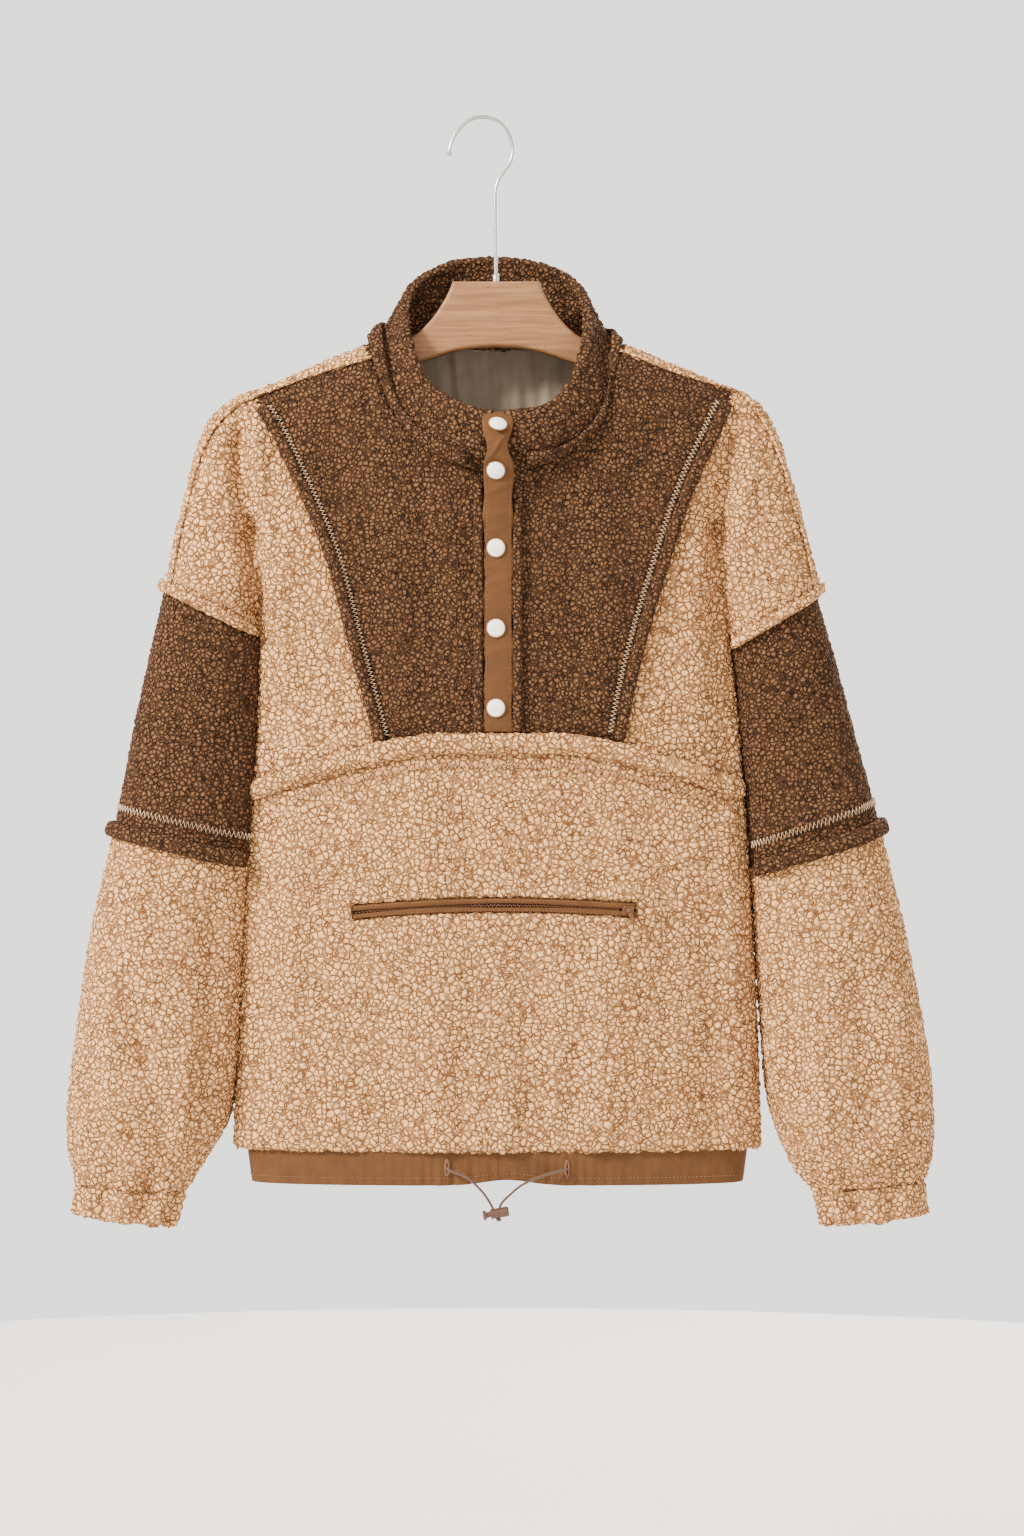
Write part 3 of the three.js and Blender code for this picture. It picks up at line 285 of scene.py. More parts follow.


# Sherpa: small lumps with painted shade in the thin dark creases between them, finer curls on each, and paler
# painted highlights on their tips.
def sherpa(name, look):
    finish = Finish(name, Roughness=0.95, Sheen_Weight=look["sheen"], Sheen_Roughness=0.5,
                    Specular_IOR_Level=0.12, Sheen_Tint=linear(look["tip"]))
    inputs = {"Vector": finish.where(), "Scale": 1 / (look["lump"] * 1.3 * metre), "Detail": 2.0}
    pull = finish.node("TexNoise", None, inputs, "Color")
    reach = look["lump"] * 0.9 * metre
    inputs = {0: pull, 1: (reach,) * 3, 2: finish.where()}
    spot = finish.node("VectorMath", {"operation": "MULTIPLY_ADD"}, inputs)
    crease = finish.cells(look["lump"], "DISTANCE_TO_EDGE", spot)
    dome = finish.cells(look["lump"], "F1", spot)
    curl = finish.cells(look["lump"] * 0.42, "SMOOTH_F1")
    loops = finish.noise(look["lump"] * 0.2, 3.0)
    height = finish.node("Attribute", {"attribute_name": "pile"}, output="Fac")
    lump = finish.step(crease, -0.02, look["gap"])
    tint = finish.noise(40, 2.0)
    broken = finish.step(finish.noise(look["lump"] * 1.6, 1.0), 0.4, 0.65) * 0.45
    together = lump * (1 - broken) + broken
    # Painted shade: the dark crease colour fills the cells' edges and wherever the pile attribute is low, in
    # the creases between tufts, along pressed seams and in the pocket's groove.
    base = finish.mix(together * finish.step(height, -0.3, 0.5), linear(look["crease"]), linear(look["mid"]))
    # Painted highlight: the paler tip colour in the middle of each lump, scaled by highlights in the look.
    highlights = finish.step(1 - dome * 1.3 - curl * 0.5 + (loops - 0.5) * 0.6, 0.0, 0.9)
    base = finish.mix(highlights * lump * look["highlights"], base, linear(look["tip"]))
    base = finish.mix(finish.step(tint, 0.3, 0.75) * 0.16, base, linear(look["shade"]))
    finish.use("Base Color", base)
    finish.relief(lump * 0.7 + (1 - dome) * 0.5 + (1 - curl) * 0.35 + loops * 0.2, look["relief"], 1.0)
    return finish


print("finishes")
# In each look, crease is the colour of the painted shade in the creases and tip the colour of the painted
# highlights on the lumps, also used to tint the sheen; mid and shade are the cloth's own tones.
creamSherpa = sherpa("creamSherpa", {
    "crease": (104, 56, 25), "mid": (224, 166, 108), "tip": (242, 196, 142), "shade": (206, 144, 90),
    "lump": 4.6, "gap": 0.17, "highlights": 0.5, "relief": 3.4, "sheen": 0.08})
brownSherpa = sherpa("brownSherpa", {
    "crease": (16, 9, 5), "mid": (95, 63, 39), "tip": (140, 102, 70), "shade": (80, 51, 30),
    "lump": 3.6, "gap": 0.22, "highlights": 0.5, "relief": 2.8, "sheen": 0.05})
sherpas = {"cream": creamSherpa, "brown": brownSherpa}


# Woven cloth: two crossing sets of fine threads that follow the piece's own UV in millimetres.
def woven(name, dark, light, pitch, roughness, depth):
    finish = Finish(name, Specular_IOR_Level=0.15, Sheen_Weight=0.0)
    across, up = finish.ownUv()
    weave = (finish.wave(across, pitch) * finish.wave(up, pitch) + 1) * 0.5
    cloud = finish.noise(14, 3.0)
    shade = (weave + cloud) * 0.5
    finish.use("Base Color", finish.mix(shade, linear(dark), linear(light)))
    finish.use("Roughness", cloud * 0.2 + (roughness - 0.1))
    finish.relief(weave * 0.4 + finish.noise(6, 4.0) * 1.6, depth, 0.7)
    return finish


brownWoven = woven("brownWoven", (55, 31, 13), (105, 68, 34), 1.1, 0.68, 0.7)
# The zip's tape: its own dark brown, made darker still as painted shade in the slit between the welts.
zipCloth = woven("zipCloth", (22, 11, 5), (46, 26, 13), 1.1, 0.6, 0.4)
taupeLining = woven("taupeLining", (96, 80, 64), (150, 132, 112), 0.9, 0.42, 0.4)


# Sewing thread: two close tones and a fine twist.
def threadOf(name, dark, light, roughness, sheen):
    finish = Finish(name, Roughness=roughness, Sheen_Weight=sheen)
    finish.use("Base Color", finish.mix(finish.noise(1.5), linear(dark), linear(light)))
    finish.relief(finish.noise(0.5, 2.0), 0.2)
    return finish


tanThread = threadOf("tanThread", (186, 148, 108), (224, 192, 150), 0.7, 0.2)
creamThread = threadOf("creamThread", (176, 126, 84), (214, 164, 118), 0.8, 0.1)
brownThread = threadOf("brownThread", (78, 42, 18), (132, 82, 44), 0.7, 0.1)

ivory = Finish("ivoryPlastic", Specular_IOR_Level=0.5)
# Painted shadow: the pile attribute marks the cap's rim and underside, which take a dark brown ring.
ivoryRimShadow = ivory.node("Attribute", {"attribute_name": "pile"}, output="Fac")
ivoryBase = ivory.mix(ivory.noise(3, 4.0), linear((236, 227, 212)), linear((248, 243, 234)))
ivory.use("Base Color", ivory.mix(ivoryRimShadow, ivoryBase, linear((128, 88, 58))))
ivory.use("Roughness", ivory.noise(2, 3.0) * 0.2 + 0.22)
ivory.relief(ivory.noise(1.2, 2.0), 0.08, 0.4)

steel = Finish("hookSteel", Metallic=1.0, Specular_IOR_Level=0.5)
brushed = steel.node("TexNoise", None, {"Vector": steel.stretched(1, 1, 0.12), "Scale": 2500, "Detail": 2.0})
steel.use("Base Color", steel.mix(brushed, linear((150, 146, 140)), linear((206, 203, 198))))
steel.use("Roughness", brushed * 0.22 + 0.18)
steel.relief(brushed, 0.03, 0.5)

# Wood: long grain with soft rings and short dark flecks, all drawn out along the board.
woodLook = {"dark": (117, 76, 43), "light": (146, 103, 63), "ring": (110, 69, 36), "fleck": (83, 51, 26)}
wood = Finish("beechWood", Specular_IOR_Level=0.35)
grain = wood.noise(2.6, 5.0, wood.stretched(0.06, 1, 1))
flecks = wood.noise(0.9, 2.0, wood.stretched(0.12, 1, 1))
rings = wood.node("TexWave", {"bands_direction": "Z"}, {
    "Vector": wood.stretched(0.05, 1, 1), "Scale": 34, "Distortion": 7.0, "Detail": 3.0, "Detail Scale": 1.2})
woodBase = wood.mix(wood.step(grain, 0.3, 0.7), linear(woodLook["dark"]), linear(woodLook["light"]))
woodBase = wood.mix(rings * 0.35, woodBase, linear(woodLook["ring"]))
woodBase = wood.mix(wood.step(flecks, 0.6, 0.75) * 0.45, woodBase, linear(woodLook["fleck"]))
wood.use("Base Color", woodBase)
wood.use("Roughness", grain * 0.25 + 0.42)
wood.relief(grain + flecks * 0.6, 0.12, 0.6)


# Moulded or cast finish: two close tones, a cloudy gloss and a faint unevenness, by spot size in mm.
def cast(name, look, **constants):
    finish = Finish(name, **constants)
    tone = finish.noise(look["toneSpot"], look["detail"])
    finish.use("Base Color", finish.mix(tone, linear(look["dark"]), linear(look["light"])))
    finish.use("Roughness", finish.noise(look["glossSpot"], 3.0) * look["cloudy"] + look["rough"])
    finish.relief(finish.noise(look["bumpSpot"], 2.0), look["deep"], 0.5)
    return finish


plastic = cast("lockPlastic", {
    "dark": (62, 36, 22), "light": (86, 52, 33), "toneSpot": 4, "detail": 3.0, "glossSpot": 1.5, "cloudy": 0.2,
    "rough": 0.32, "bumpSpot": 0.8, "deep": 0.06}, Specular_IOR_Level=0.45)
bronze = cast("zipMetal", {
    "dark": (84, 54, 34), "light": (128, 88, 58), "toneSpot": 2, "detail": 4.0, "glossSpot": 1.2,
    "cloudy": 0.25, "rough": 0.28, "bumpSpot": 0.7, "deep": 0.05}, Metallic=0.7, Specular_IOR_Level=0.5)

# Braid: two sets of yarns that wind round the cord, from its own UV.
braidLook = {"dark": (50, 26, 12), "light": (98, 58, 30), "yarns": 6, "lay": 1.1}
braid = Finish("cordBraid", Roughness=0.75, Sheen_Weight=0.2)
roundCord, alongCord = braid.ownUv()
yarnA = braid.wave(roundCord * braidLook["yarns"] + alongCord * braidLook["lay"], 1)
yarnB = braid.wave(roundCord * braidLook["yarns"] - alongCord * braidLook["lay"], 1)
yarns = (yarnA * yarnB + 1) * 0.5
braid.use("Base Color", braid.mix(yarns, linear(braidLook["dark"]), linear(braidLook["light"])))
braid.relief(yarns, 0.25, 0.9)

# Tables of the cut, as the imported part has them.
neckZ, shoulderSlope, shoulderX, hemZ, ridgeRadius = -136.5, 0.418, 195.0, -823.0, 60.0
bodySquare, sleeveSquare = 2.5, 2.2
archTopZ, archFlat, archDrop, archReach = -501.5, 50.0, 36.0, 142.0
neckBackZ = -182.5
ridgeStretch = math.hypot(1, shoulderSlope)
shoulderZ = neckZ - shoulderSlope * shoulderX


def tableOf(names, text):
    values = np.array([[float(v) for v in row.split()] for row in text.strip().splitlines()])
    table = dict(zip(names.split(), values.T))
    table["row"] = np.arange(len(values), dtype=float)
    return table


bodyTable = tableOf("z left right front back", """
-218 -196 197 34 36
-240 -207 199 35 38
-262 -213 202 37 40
-300 -213 203 41 42
-340 -207 200 45 43
-375 -198 193 46 41
-400 -190.5 186 45 39
-417 -187.5 184 44 38
-465 -188.5 189 42 36
-513 -191 193 42 35
-593 -197 199 44 35
-705 -202.4 204.8 45 36
-823 -206.4 208.8 43 37
""")
sleeveTables = {"left": tableOf("ox oz ix iz depth", """
-194 -216 -150 -236 15
-213 -226 -164 -254 22
-231 -243 -172 -278 25
-241 -270 -177 -304 28
-250 -305 -181 -339 30
-258 -338 -186 -374 32
-264.5 -373 -190.5 -411 34
-277 -429 -191.5 -457 35
-290 -489 -194 -513 36
-305 -567 -200 -592 38
-317 -617 -204 -644 41
-327 -665 -207 -698 44
-335 -721 -210 -750 46
-341.5 -777 -217 -797 45
-342.5 -817 -231 -827 39
-336 -852 -247 -857 28
-340 -875 -256 -886 27
"""), "right": tableOf("ox oz ix iz depth", """
197 -218 152 -238 15
213 -231 164 -258 22
225 -252 167 -282 25
234 -280 170 -310 28
243 -310 174 -344 30
250.5 -340 179 -379 32
260 -377 186.5 -421 34
274.5 -427 191.5 -463 35
289 -481 196.5 -517 36
311.5 -565 202.5 -599 38
325.5 -622 205.5 -649 41
336 -668 208.5 -694 44
346 -718 212 -738 46
354 -776 217.5 -788 45
352 -822 236 -836 39
343 -848 253 -857 28
345.5 -876 259.5 -885 27
""")}
dropSeam, bandSeam, cuffSeam, cuffEdge = 6.0, 9.0, 15.0, 16.0
yokeSeam = {
    "left": np.array([(-190, -228), (-172.4, -255.5), (-156.5, -288.7), (-142.3, -320), (-129.5, -353),
                      (-119.8, -388), (-110.9, -423.5), (-102.5, -455), (-94, -487), (-90, -504.0)]),
    "right": np.array([(187, -223.5), (172.6, -253.5), (159.5, -281), (146.5, -313), (136.5, -344),
                       (126.5, -376), (117, -408.5), (108, -443), (101.5, -474), (97, -501.0)])}
shoulderSeam = {
    "left": np.array([(-60, -182), (-109.7, -196.9), (-151.9, -208.9), (-185.3, -221.6), (-206, -232),
                      (-224.3, -250.3), (-235.5, -274.9), (-245, -309.9), (-252.2, -341.8), (-260, -385.0)]),
    "right": np.array([(60, -175), (106.7, -190.6), (136.9, -202.5), (166.4, -211.3), (195, -220.8),
                       (215.4, -250.3), (228.4, -282.1), (235.6, -309.9), (245.1, -340), (254, -385.0)])}
collarTable = tableOf("bx bz mx my mz tx ty tz", """
-2 -289 -2 -62 -264 -2 -58 -243
-20 -285 -22 -61 -261 -20 -57.5 -240
-42 -276 -43 -57 -254 -38 -54 -232
-64 -259 -63 -48 -240 -57 -46 -219
-84 -236 -77 -35 -214 -70 -32 -194
-97 -209 -83 -17 -183 -77 -14 -165
-104 -182.5 -84 5 -157 -76 6 -142
-84 -182.5 -77 28 -150 -63 29 -124
-46 -182.5 -44 45 -143 -37 43 -111
0 -182.5 0 50 -142 0 48 -107.5
46 -182.5 46 45 -144 38 43 -112.5
84 -182.5 79 28 -153 64 29 -126
103 -182.5 86 5 -166 76 6 -145
97 -209 87 -17 -195 77.5 -14 -168
87 -236 83 -35 -224 73 -32 -193
68 -259 67 -48 -249 61 -46 -221
44 -276 45 -57 -262 43 -54 -237
22 -286 24 -61 -263 22 -57.5 -241
6 -289 6 -62 -264 6 -58 -243
""")
collarSides = (6.0, 12.0)


# Straight blend from a to b by t.
def mix(a, b, t):
    return a + (b - a) * t


# A power of the size that keeps the sign.
def signedPower(value, power):
    return np.sign(value) * np.abs(value) ** power


# Smooth step from low to high: 3 t squared less 2 t cubed.
def smooth(value, low, high):
    t = np.clip((value - low) / (high - low), 0, 1)
    return t * t * (3 - 2 * t)


# A column of a table at any key: cubic steps between its rows, with the slope through both neighbours.
def column(table, key, at, name):
    keys, values = table[key], table[name]
    way = 1.0 if keys[-1] > keys[0] else -1.0
    keys = keys * way
    at = np.clip(np.asarray(at, float) * way, keys[0], keys[-1])
    i = np.clip(np.searchsorted(keys, at, side="right") - 1, 0, len(keys) - 2)
    before = np.maximum(np.arange(len(keys)) - 1, 0)
    after = np.minimum(np.arange(len(keys)) + 1, len(keys) - 1)
    slopes = (values[after] - values[before]) / (keys[after] - keys[before])
    span = keys[i + 1] - keys[i]
    t = (at - keys[i]) / span
    start = (1 + 2 * t) * (1 - t) ** 2 * values[i] + t * (1 - t) ** 2 * span * slopes[i]
    return start + t * t * (3 - 2 * t) * values[i + 1] + t * t * (t - 1) * span * slopes[i + 1]


# Shoulder ridge: it falls evenly from the neck to either side.
def ridgeZ(x):
    return neckZ - shoulderSlope * np.abs(x)


# Arched seam: flat in the middle, then falling by the 1.4th power of the way out.
def archZ(x):
    out = np.clip((np.abs(x - 2) - archFlat) / archReach, 0, 1.1)
    return archTopZ - archDrop * out ** 1.4


# Slit of the pocket: a flat parabola, shallower on its right half.
def pocketZ(x):
    return -627.5 - 6 * (x / 110) ** 2 * np.where(x < 0, 1, 0.72)


# Middle, half width and two depths of the body at a share of the drop to the hem.
def bodySection(drop):
    z = mix(shoulderZ, hemZ, np.clip(drop, 0, 1))
    left, right, front, back = (column(bodyTable, "z", z, name) for name in ("left", "right", "front", "back"))
    return (left + right) / 2, (right - left) / 2, front, back


# Quarter circle below the ridge, as a share of the full depth.
def ridgeRound(below):
    rest = 1 - np.clip(below / ridgeRadius, 0, 1)
    return np.sqrt(np.maximum(1 - rest * rest, 0))


# Body: a squared oval section by angle, hung from the sloping ridge, whose top is a quarter round.
def bodyPoint(angle, drop, inset=0.0):
    centre, half, front, back = bodySection(drop)
    across = signedPower(np.sin(angle), 2 / bodySquare)
    deep = signedPower(np.cos(angle), 2 / bodySquare)
    x = centre + (half - inset) * across
    top = ridgeZ(x) - inset * ridgeStretch
    z = mix(top, hemZ, drop)
    depth = np.where(deep > 0, front, back) - inset
    return np.stack([x, -depth * deep * ridgeRound(top - z), z], axis=-1)


# Depth of the plain body at x and z: the same oval solved for its depth.
def bodyDepth(x, z, front, inset=0.0):
    top = ridgeZ(x) - inset * ridgeStretch
    centre, half, ahead, behind = bodySection((top - z) / (top - hemZ))
    out = np.clip(np.abs((x - centre) / (half - inset)), 0, 1)
    deep = (1 - out ** bodySquare) ** (1 / bodySquare)
    return (np.where(front, ahead, behind) - inset) * deep * ridgeRound(top - z)


# Depth of a sleeve's head at x and z: the row of the sleeve that runs through the place, by halving.
def capDepth(side, x, z):
    table = sleeveTables[side]

    def isBelow(row):
        ox, oz, ix, iz = (column(table, "row", row, name) for name in ("ox", "oz", "ix", "iz"))
        return z < mix(oz, iz, (x - ox) / (ix - ox))

    high, low = np.zeros(x.shape), np.full(x.shape, dropSeam)
    inside = isBelow(high) & ~isBelow(low)
    for _ in range(16):
        middle = (high + low) / 2
        under = isBelow(middle)
        high, low = np.where(under, middle, high), np.where(under, low, middle)
    ox, ix = column(table, "row", high, "ox"), column(table, "row", high, "ix")
    out = np.clip(np.abs(2 * (x - ox) / (ix - ox) - 1), 0, 1)
    depth = column(table, "row", high, "depth") * (1 - out ** sleeveSquare) ** (1 / sleeveSquare)
    return np.where(inside, depth, 0.0)


# The deeper of both sleeve heads, or nil where there is none.
def caps(x, z):
    found = np.zeros(np.shape(x))
    for side, way in (("left", -1), ("right", 1)):
        near = (x * way > 140) & (z > -425)
        found[near] = np.maximum(found[near], capDepth(side, x[near], z[near]))
    return found


# The larger of two depths, with a soft valley where they are alike.
def softMax(a, b, width=16.0):
    width = np.minimum(width, 0.8 * np.minimum(a, b) + 1e-6)
    share = np.clip(0.5 + 0.5 * (a - b) / width, 0, 1)
    return mix(b, a, share) + width * share * (1 - share)


# Creases: from and to as x and z, half width, height out of the cloth, and the side.
creases = tableOf("x0 z0 x1 z1 wide rise side", """
-205 -257 -195 -330 9 -6.5 1
-195 -330 -188 -407 8 -6.5 1
-190 -262 -176 -400 9 3.4 1
-168 -345 -166 -452 10 2.6 1
-172 -470 -176 -560 11 -2.4 1
-186 -430 -182 -520 8 2.0 1
-184 -560 -186 -770 12 -2.8 1
-160 -600 -166 -790 15 2.2 1
186 -264 176 -330 9 -6.0 1
176 -330 174 -408 8 -6.0 1
196 -296 186 -376 8 2.8 1
160 -350 158 -450 11 2.4 1
176 -455 180 -545 9 -2.2 1
186 -560 190 -700 11 2.0 1
168 -640 172 -800 14 -2.4 1
-60 -548 -48 -606 16 2.0 1
62 -552 78 -612 18 -2.0 1
-20 -560 -14 -612 14 -1.8 1
-110 -660 -92 -800 20 -2.6 1
-44 -668 -36 -812 17 2.2 1
26 -664 34 -806 16 -2.4 1
92 -668 84 -800 19 2.4 1
130 -560 142 -700 18 -2.2 1
-132 -552 -146 -690 17 -2.0 1
-62 -310 -50 -400 16 -1.8 1
-88 -330 -74 -470 13 1.8 1
52 -306 66 -410 15 -1.8 1
92 -330 80 -468 14 1.6 1
-40 -300 -34 -380 9 1.4 1
-128 -262 -96 -330 14 -2.0 1
128 -258 98 -330 14 -2.0 1
-30 -740 -26 -815 10 -2.2 1
64 -748 60 -815 10 -2.0 1
8 -770 10 -818 9 2.2 1
-186 -270 -172 -400 10 -4.0 -1
188 -266 170 -402 10 -4.0 -1
-150 -300 -120 -420 16 2.6 -1
148 -305 124 -430 17 2.4 -1
-90 -240 -60 -330 18 -2.4 -1
84 -236 58 -322 17 -2.4 -1
-118 -470 -128 -640 20 -3.0 -1
-48 -430 -60 -660 22 2.6 -1
22 -460 18 -700 20 -2.8 -1
84 -440 98 -640 21 2.6 -1
140 -500 152 -720 17 -2.8 -1
-160 -620 -166 -800 14 2.4 -1
-84 -690 -78 -815 15 -2.4 -1
48 -700 44 -815 15 2.4 -1
112 -720 116 -815 13 -2.2 -1
0 -210 0 -260 26 1.6 -1
""")


creaseDepth = 1.5
creaseColumns = ("x0", "z0", "x1", "z1", "wide", "rise", "side")


# Height of the creases: each is a soft bump across its line that fades past either end.
def creaseHeight(x, z, front, table=creases):
    height = np.zeros(np.shape(x))
    for x0, z0, x1, z1, wide, rise, side in zip(*(table[name] for name in creaseColumns)):
        line = np.array([x1 - x0, z1 - z0])
        length = np.hypot(*line)
        t = ((x - x0) * line[0] + (z - z0) * line[1]) / length
        past = np.maximum(np.maximum(-t, t - length), 0)
        off = ((x - x0) * line[1] - (z - z0) * line[0]) / length
        bend = 0.16 * wide * np.sin(t * 0.05 + x0)
        bump = np.exp(-((off + bend) / wide) ** 2 - (past / (1.3 * wide)) ** 2)
        height += creaseDepth * rise * bump * (front == (side > 0))
    return height


# Depth of the dressed front or back at x and z: body and sleeve heads, with their creases.
def dressedDepth(x, z, front):
    depth = softMax(bodyDepth(x, z, front), caps(x, z))
    return depth + creaseHeight(x, z, front) * smooth(depth, 3, 22)


# A point lifted off the front or back, square to the cloth.
def lifted(x, z, lift, front=True):
    x, z = np.broadcast_arrays(np.asarray(x, float), np.asarray(z, float))
    front = np.broadcast_to(front, x.shape)
    way = np.where(front, -1.0, 1.0)
    step = 1.0
    slopeX = (dressedDepth(x + step, z, front) - dressedDepth(x - step, z, front)) / (2 * step)
    slopeZ = (dressedDepth(x, z + step, front) - dressedDepth(x, z - step, front)) / (2 * step)
    out = unit(np.stack([-slopeX, way, -slopeZ], axis=-1))
    spot = np.stack([x, way * dressedDepth(x, z, front), z], axis=-1)
    return spot + out * np.asarray(lift)[..., None]


# Sleeve: a squared oval across the line from outer to inner fold, angle 0 in front.
def sleevePoint(side, angle, row, inset=0.0, gather=0.0):
    table = sleeveTables[side]
    ox, oz, ix, iz, depth = (column(table, "row", row, name) for name in ("ox", "oz", "ix", "iz", "depth"))
    halfX, halfZ = (ix - ox) / 2, (iz - oz) / 2
    width = np.hypot(halfX, halfZ)
    across = signedPower(np.sin(angle), 2 / sleeveSquare) * (width - inset + gather) / width
    deep = signedPower(np.cos(angle), 2 / sleeveSquare)
    return np.stack([ox + halfX + halfX * across, -(depth - inset + gather) * deep,
                     oz + halfZ + halfZ * across], axis=-1)


# Scatter: repeatable numbers from whole cell places, then soft noise and scattered seeds.
def scatter(cell, salt):
    a, b, c = (cell[..., k].astype(np.int64).astype(np.uint32) for k in range(3))
    n = a * np.uint32(73856093) ^ b * np.uint32(19349663) ^ c * np.uint32(83492791) ^ np.uint32(salt * 9781)
    n = (n ^ (n >> np.uint32(13))) * np.uint32(1274126177)
    n = (n ^ (n >> np.uint32(16))) * np.uint32(2246822519)
    return ((n ^ (n >> np.uint32(15))) & np.uint32(0xFFFFFF)).astype(float) / 0xFFFFFF


# Soft noise: scatter at the corners of each cell, blended by a smooth step along each axis.
def softNoise(points, size, salt):
    q = points / size
    base = np.floor(q)
    t = q - base
    t = t * t * (3 - 2 * t)
    total = np.zeros(points.shape[:-1])
    for corner in np.ndindex(2, 2, 2):
        weight = np.prod(np.where(np.array(corner) > 0, t, 1 - t), axis=-1)
        total += weight * scatter(base + corner, salt)
    return total


# Distances to the nearest and the second nearest seed, in seed spacings.
def seeds(points, size, salt):
    q = points / size
    base = np.floor(q)
    near = np.full(points.shape[:-1], 9.0)
    second = near.copy()
    for shift in np.ndindex(3, 3, 3):
        cell = base + (np.array(shift) - 1)
        seed = cell + np.stack([scatter(cell, salt + k) for k in range(3)], axis=-1)
        away = np.linalg.norm(q - seed, axis=-1)
        second = np.minimum(second, np.maximum(near, away))
        near = np.minimum(near, away)
    return near, second


# Pile of a fleece: rounded tufts between creases, coarse and fine. pileOf gives each point's share of
# the full height: the gap between its two nearest seeds, nil in a crease and one on a tuft's top.
pileLooks = {
    "cream": {"tuft": 6.8, "fine": 4.4, "height": 2.6, "sunk": 1.5, "salt": 11},
    "brown": {"tuft": 5.6, "fine": 3.6, "height": 2.0, "sunk": 1.2, "salt": 47}}
pileShape = {"bendSize": 7.0, "bend": 5.0, "crease": 0.42, "fineCrease": 0.4, "patch": 28.0}


# The same share is stored as the pile attribute, and the fleece's colour darkens where it is low as painted
# crease shade.
def pileOf(points, look):
    salt = look["salt"]
    bend = np.stack([softNoise(points, pileShape["bendSize"], salt + 5 + k) for k in range(3)], axis=-1) - 0.5
    spots = points + bend * pileShape["bend"]
    near, second = seeds(spots, look["tuft"], salt)
    fineNear, fineSecond = seeds(spots, look["fine"], salt + 9)
    edge = smooth(second - near, 0.0, pileShape["crease"])
    fineEdge = smooth(fineSecond - fineNear, 0.0, pileShape["fineCrease"])
    patch = softNoise(points, pileShape["patch"], salt + 21)
    share = (0.5 * edge + 0.2 * (1 - near) + 0.3 * fineEdge) * (0.8 + 0.4 * patch)
    return np.clip(share, 0, 1.1)


# A line moved sideways by a distance, square to its own run.
def along(line, distance):
    step = np.gradient(line, axis=0)
    side = unit(np.stack([-step[:, 1], step[:, 0]], axis=1))
    return line + side * distance


# A line with even steps of about the given spacing.
def resampled(line, spacing):
    line = np.asarray(line, float)
    gaps = np.linalg.norm(np.diff(line, axis=0), axis=1)
    far = np.concatenate([[0], np.cumsum(gaps)])
    count = max(int(round(far[-1] / spacing)), 2)
    at = np.linspace(0, far[-1], count + 1)
    # A cubic through the points rounds the corners; its steps are even along the straight pieces.
    table = {"row": far, **{f"c{k}": line[:, k] for k in range(line.shape[1])}}
    return np.stack([column(table, "row", at, f"c{k}") for k in range(line.shape[1])], axis=1)


# Lines of stitches that press the cloth: beside each yoke seam and below the arch.
archX = np.linspace(-186, 190, 120)
stitchUnder = {"from": -158.0, "to": 172.0, "below": 16.0}
underX = np.linspace(stitchUnder["from"], stitchUnder["to"], 110)
sewing = {
    "yokeLeft": along(resampled(yokeSeam["left"], 3.0), 6.4),
    "yokeRight": along(resampled(yokeSeam["right"], 3.0), -8.2),
    "archUnder": np.stack([underX, archZ(underX) - stitchUnder["below"]], axis=1),
}


# Each raised edge presses the cloth along both of its sides too, which dents it and paints shade there.
underTape = [np.stack([archX, archZ(archX) - 9.0], axis=1), np.stack([archX, archZ(archX) + 9.0], axis=1),
             along(resampled(yokeSeam["left"], 3.0), -5.6), along(resampled(yokeSeam["right"], 3.0), 5.6)]


# How far sewing presses the cloth, one on a line and fading over about 3 mm either side of it.
def pressedBy(x, z, front):
    press = np.zeros(np.shape(x))
    chosen = front & (z > -590) & (z < -195) & (np.abs(x) < 205)
    spots = np.stack([x[chosen], z[chosen]], axis=1)
    for line in list(sewing.values()) + underTape:
        nearest = np.full(len(spots), 1e9)
        for part in line[::2]:
            nearest = np.minimum(nearest, (spots[:, 0] - part[0]) ** 2 + (spots[:, 1] - part[1]) ** 2)
        press[chosen] = np.maximum(press[chosen], np.exp(-nearest / 9.0))
    return press


# Even steps along a path: the value at each is read between the path's own points.
def evenly(path, values, count):
    far = np.concatenate([[0], np.cumsum(np.linalg.norm(np.diff(path, axis=0), axis=1))])
    return np.interp(np.linspace(0, far[-1], count), far, values)


thickness = 3.0
measured = {}


# Joins walls into one named piece: each has its outer grid, its inner grid, its pile and its faces.
def clothPiece(name, walls, finish, stands):
    points, piles, quads, rims, flat, start = [], [], [], [], 0.0, 0
    for outer, base, inner, pile, keep, ring in walls:
        faces = wallFaces(outer.shape[:2], keep, ring, start)
        quads.append(faces[0])
        rims.append(faces[1])
        points += [outer.reshape(-1, 3), inner.reshape(-1, 3)]
        piles += [pile.ravel(), np.full(inner.shape[0] * inner.shape[1], 0.5)]
        start += outer.shape[0] * outer.shape[1] + inner.shape[0] * inner.shape[1]
        right = np.roll(base, -1, axis=1) if ring else np.concatenate([base[:, 1:], base[:, -1:]], axis=1)
        cell = np.linalg.norm(np.cross(right[:-1] - base[:-1], base[1:] - base[:-1]), axis=-1)
        cell = cell[:, :2 * keep.shape[1]]
        flat += float((cell * np.repeat(np.repeat(keep, 2, axis=0), 2, axis=1)).sum())
    piece = makePiece(name, np.concatenate(points), [np.concatenate(quads), np.concatenate(rims)], finish,
                      stands, np.concatenate(piles))
    measured[name] = round(flat * 1e-6, 4)
    return piece


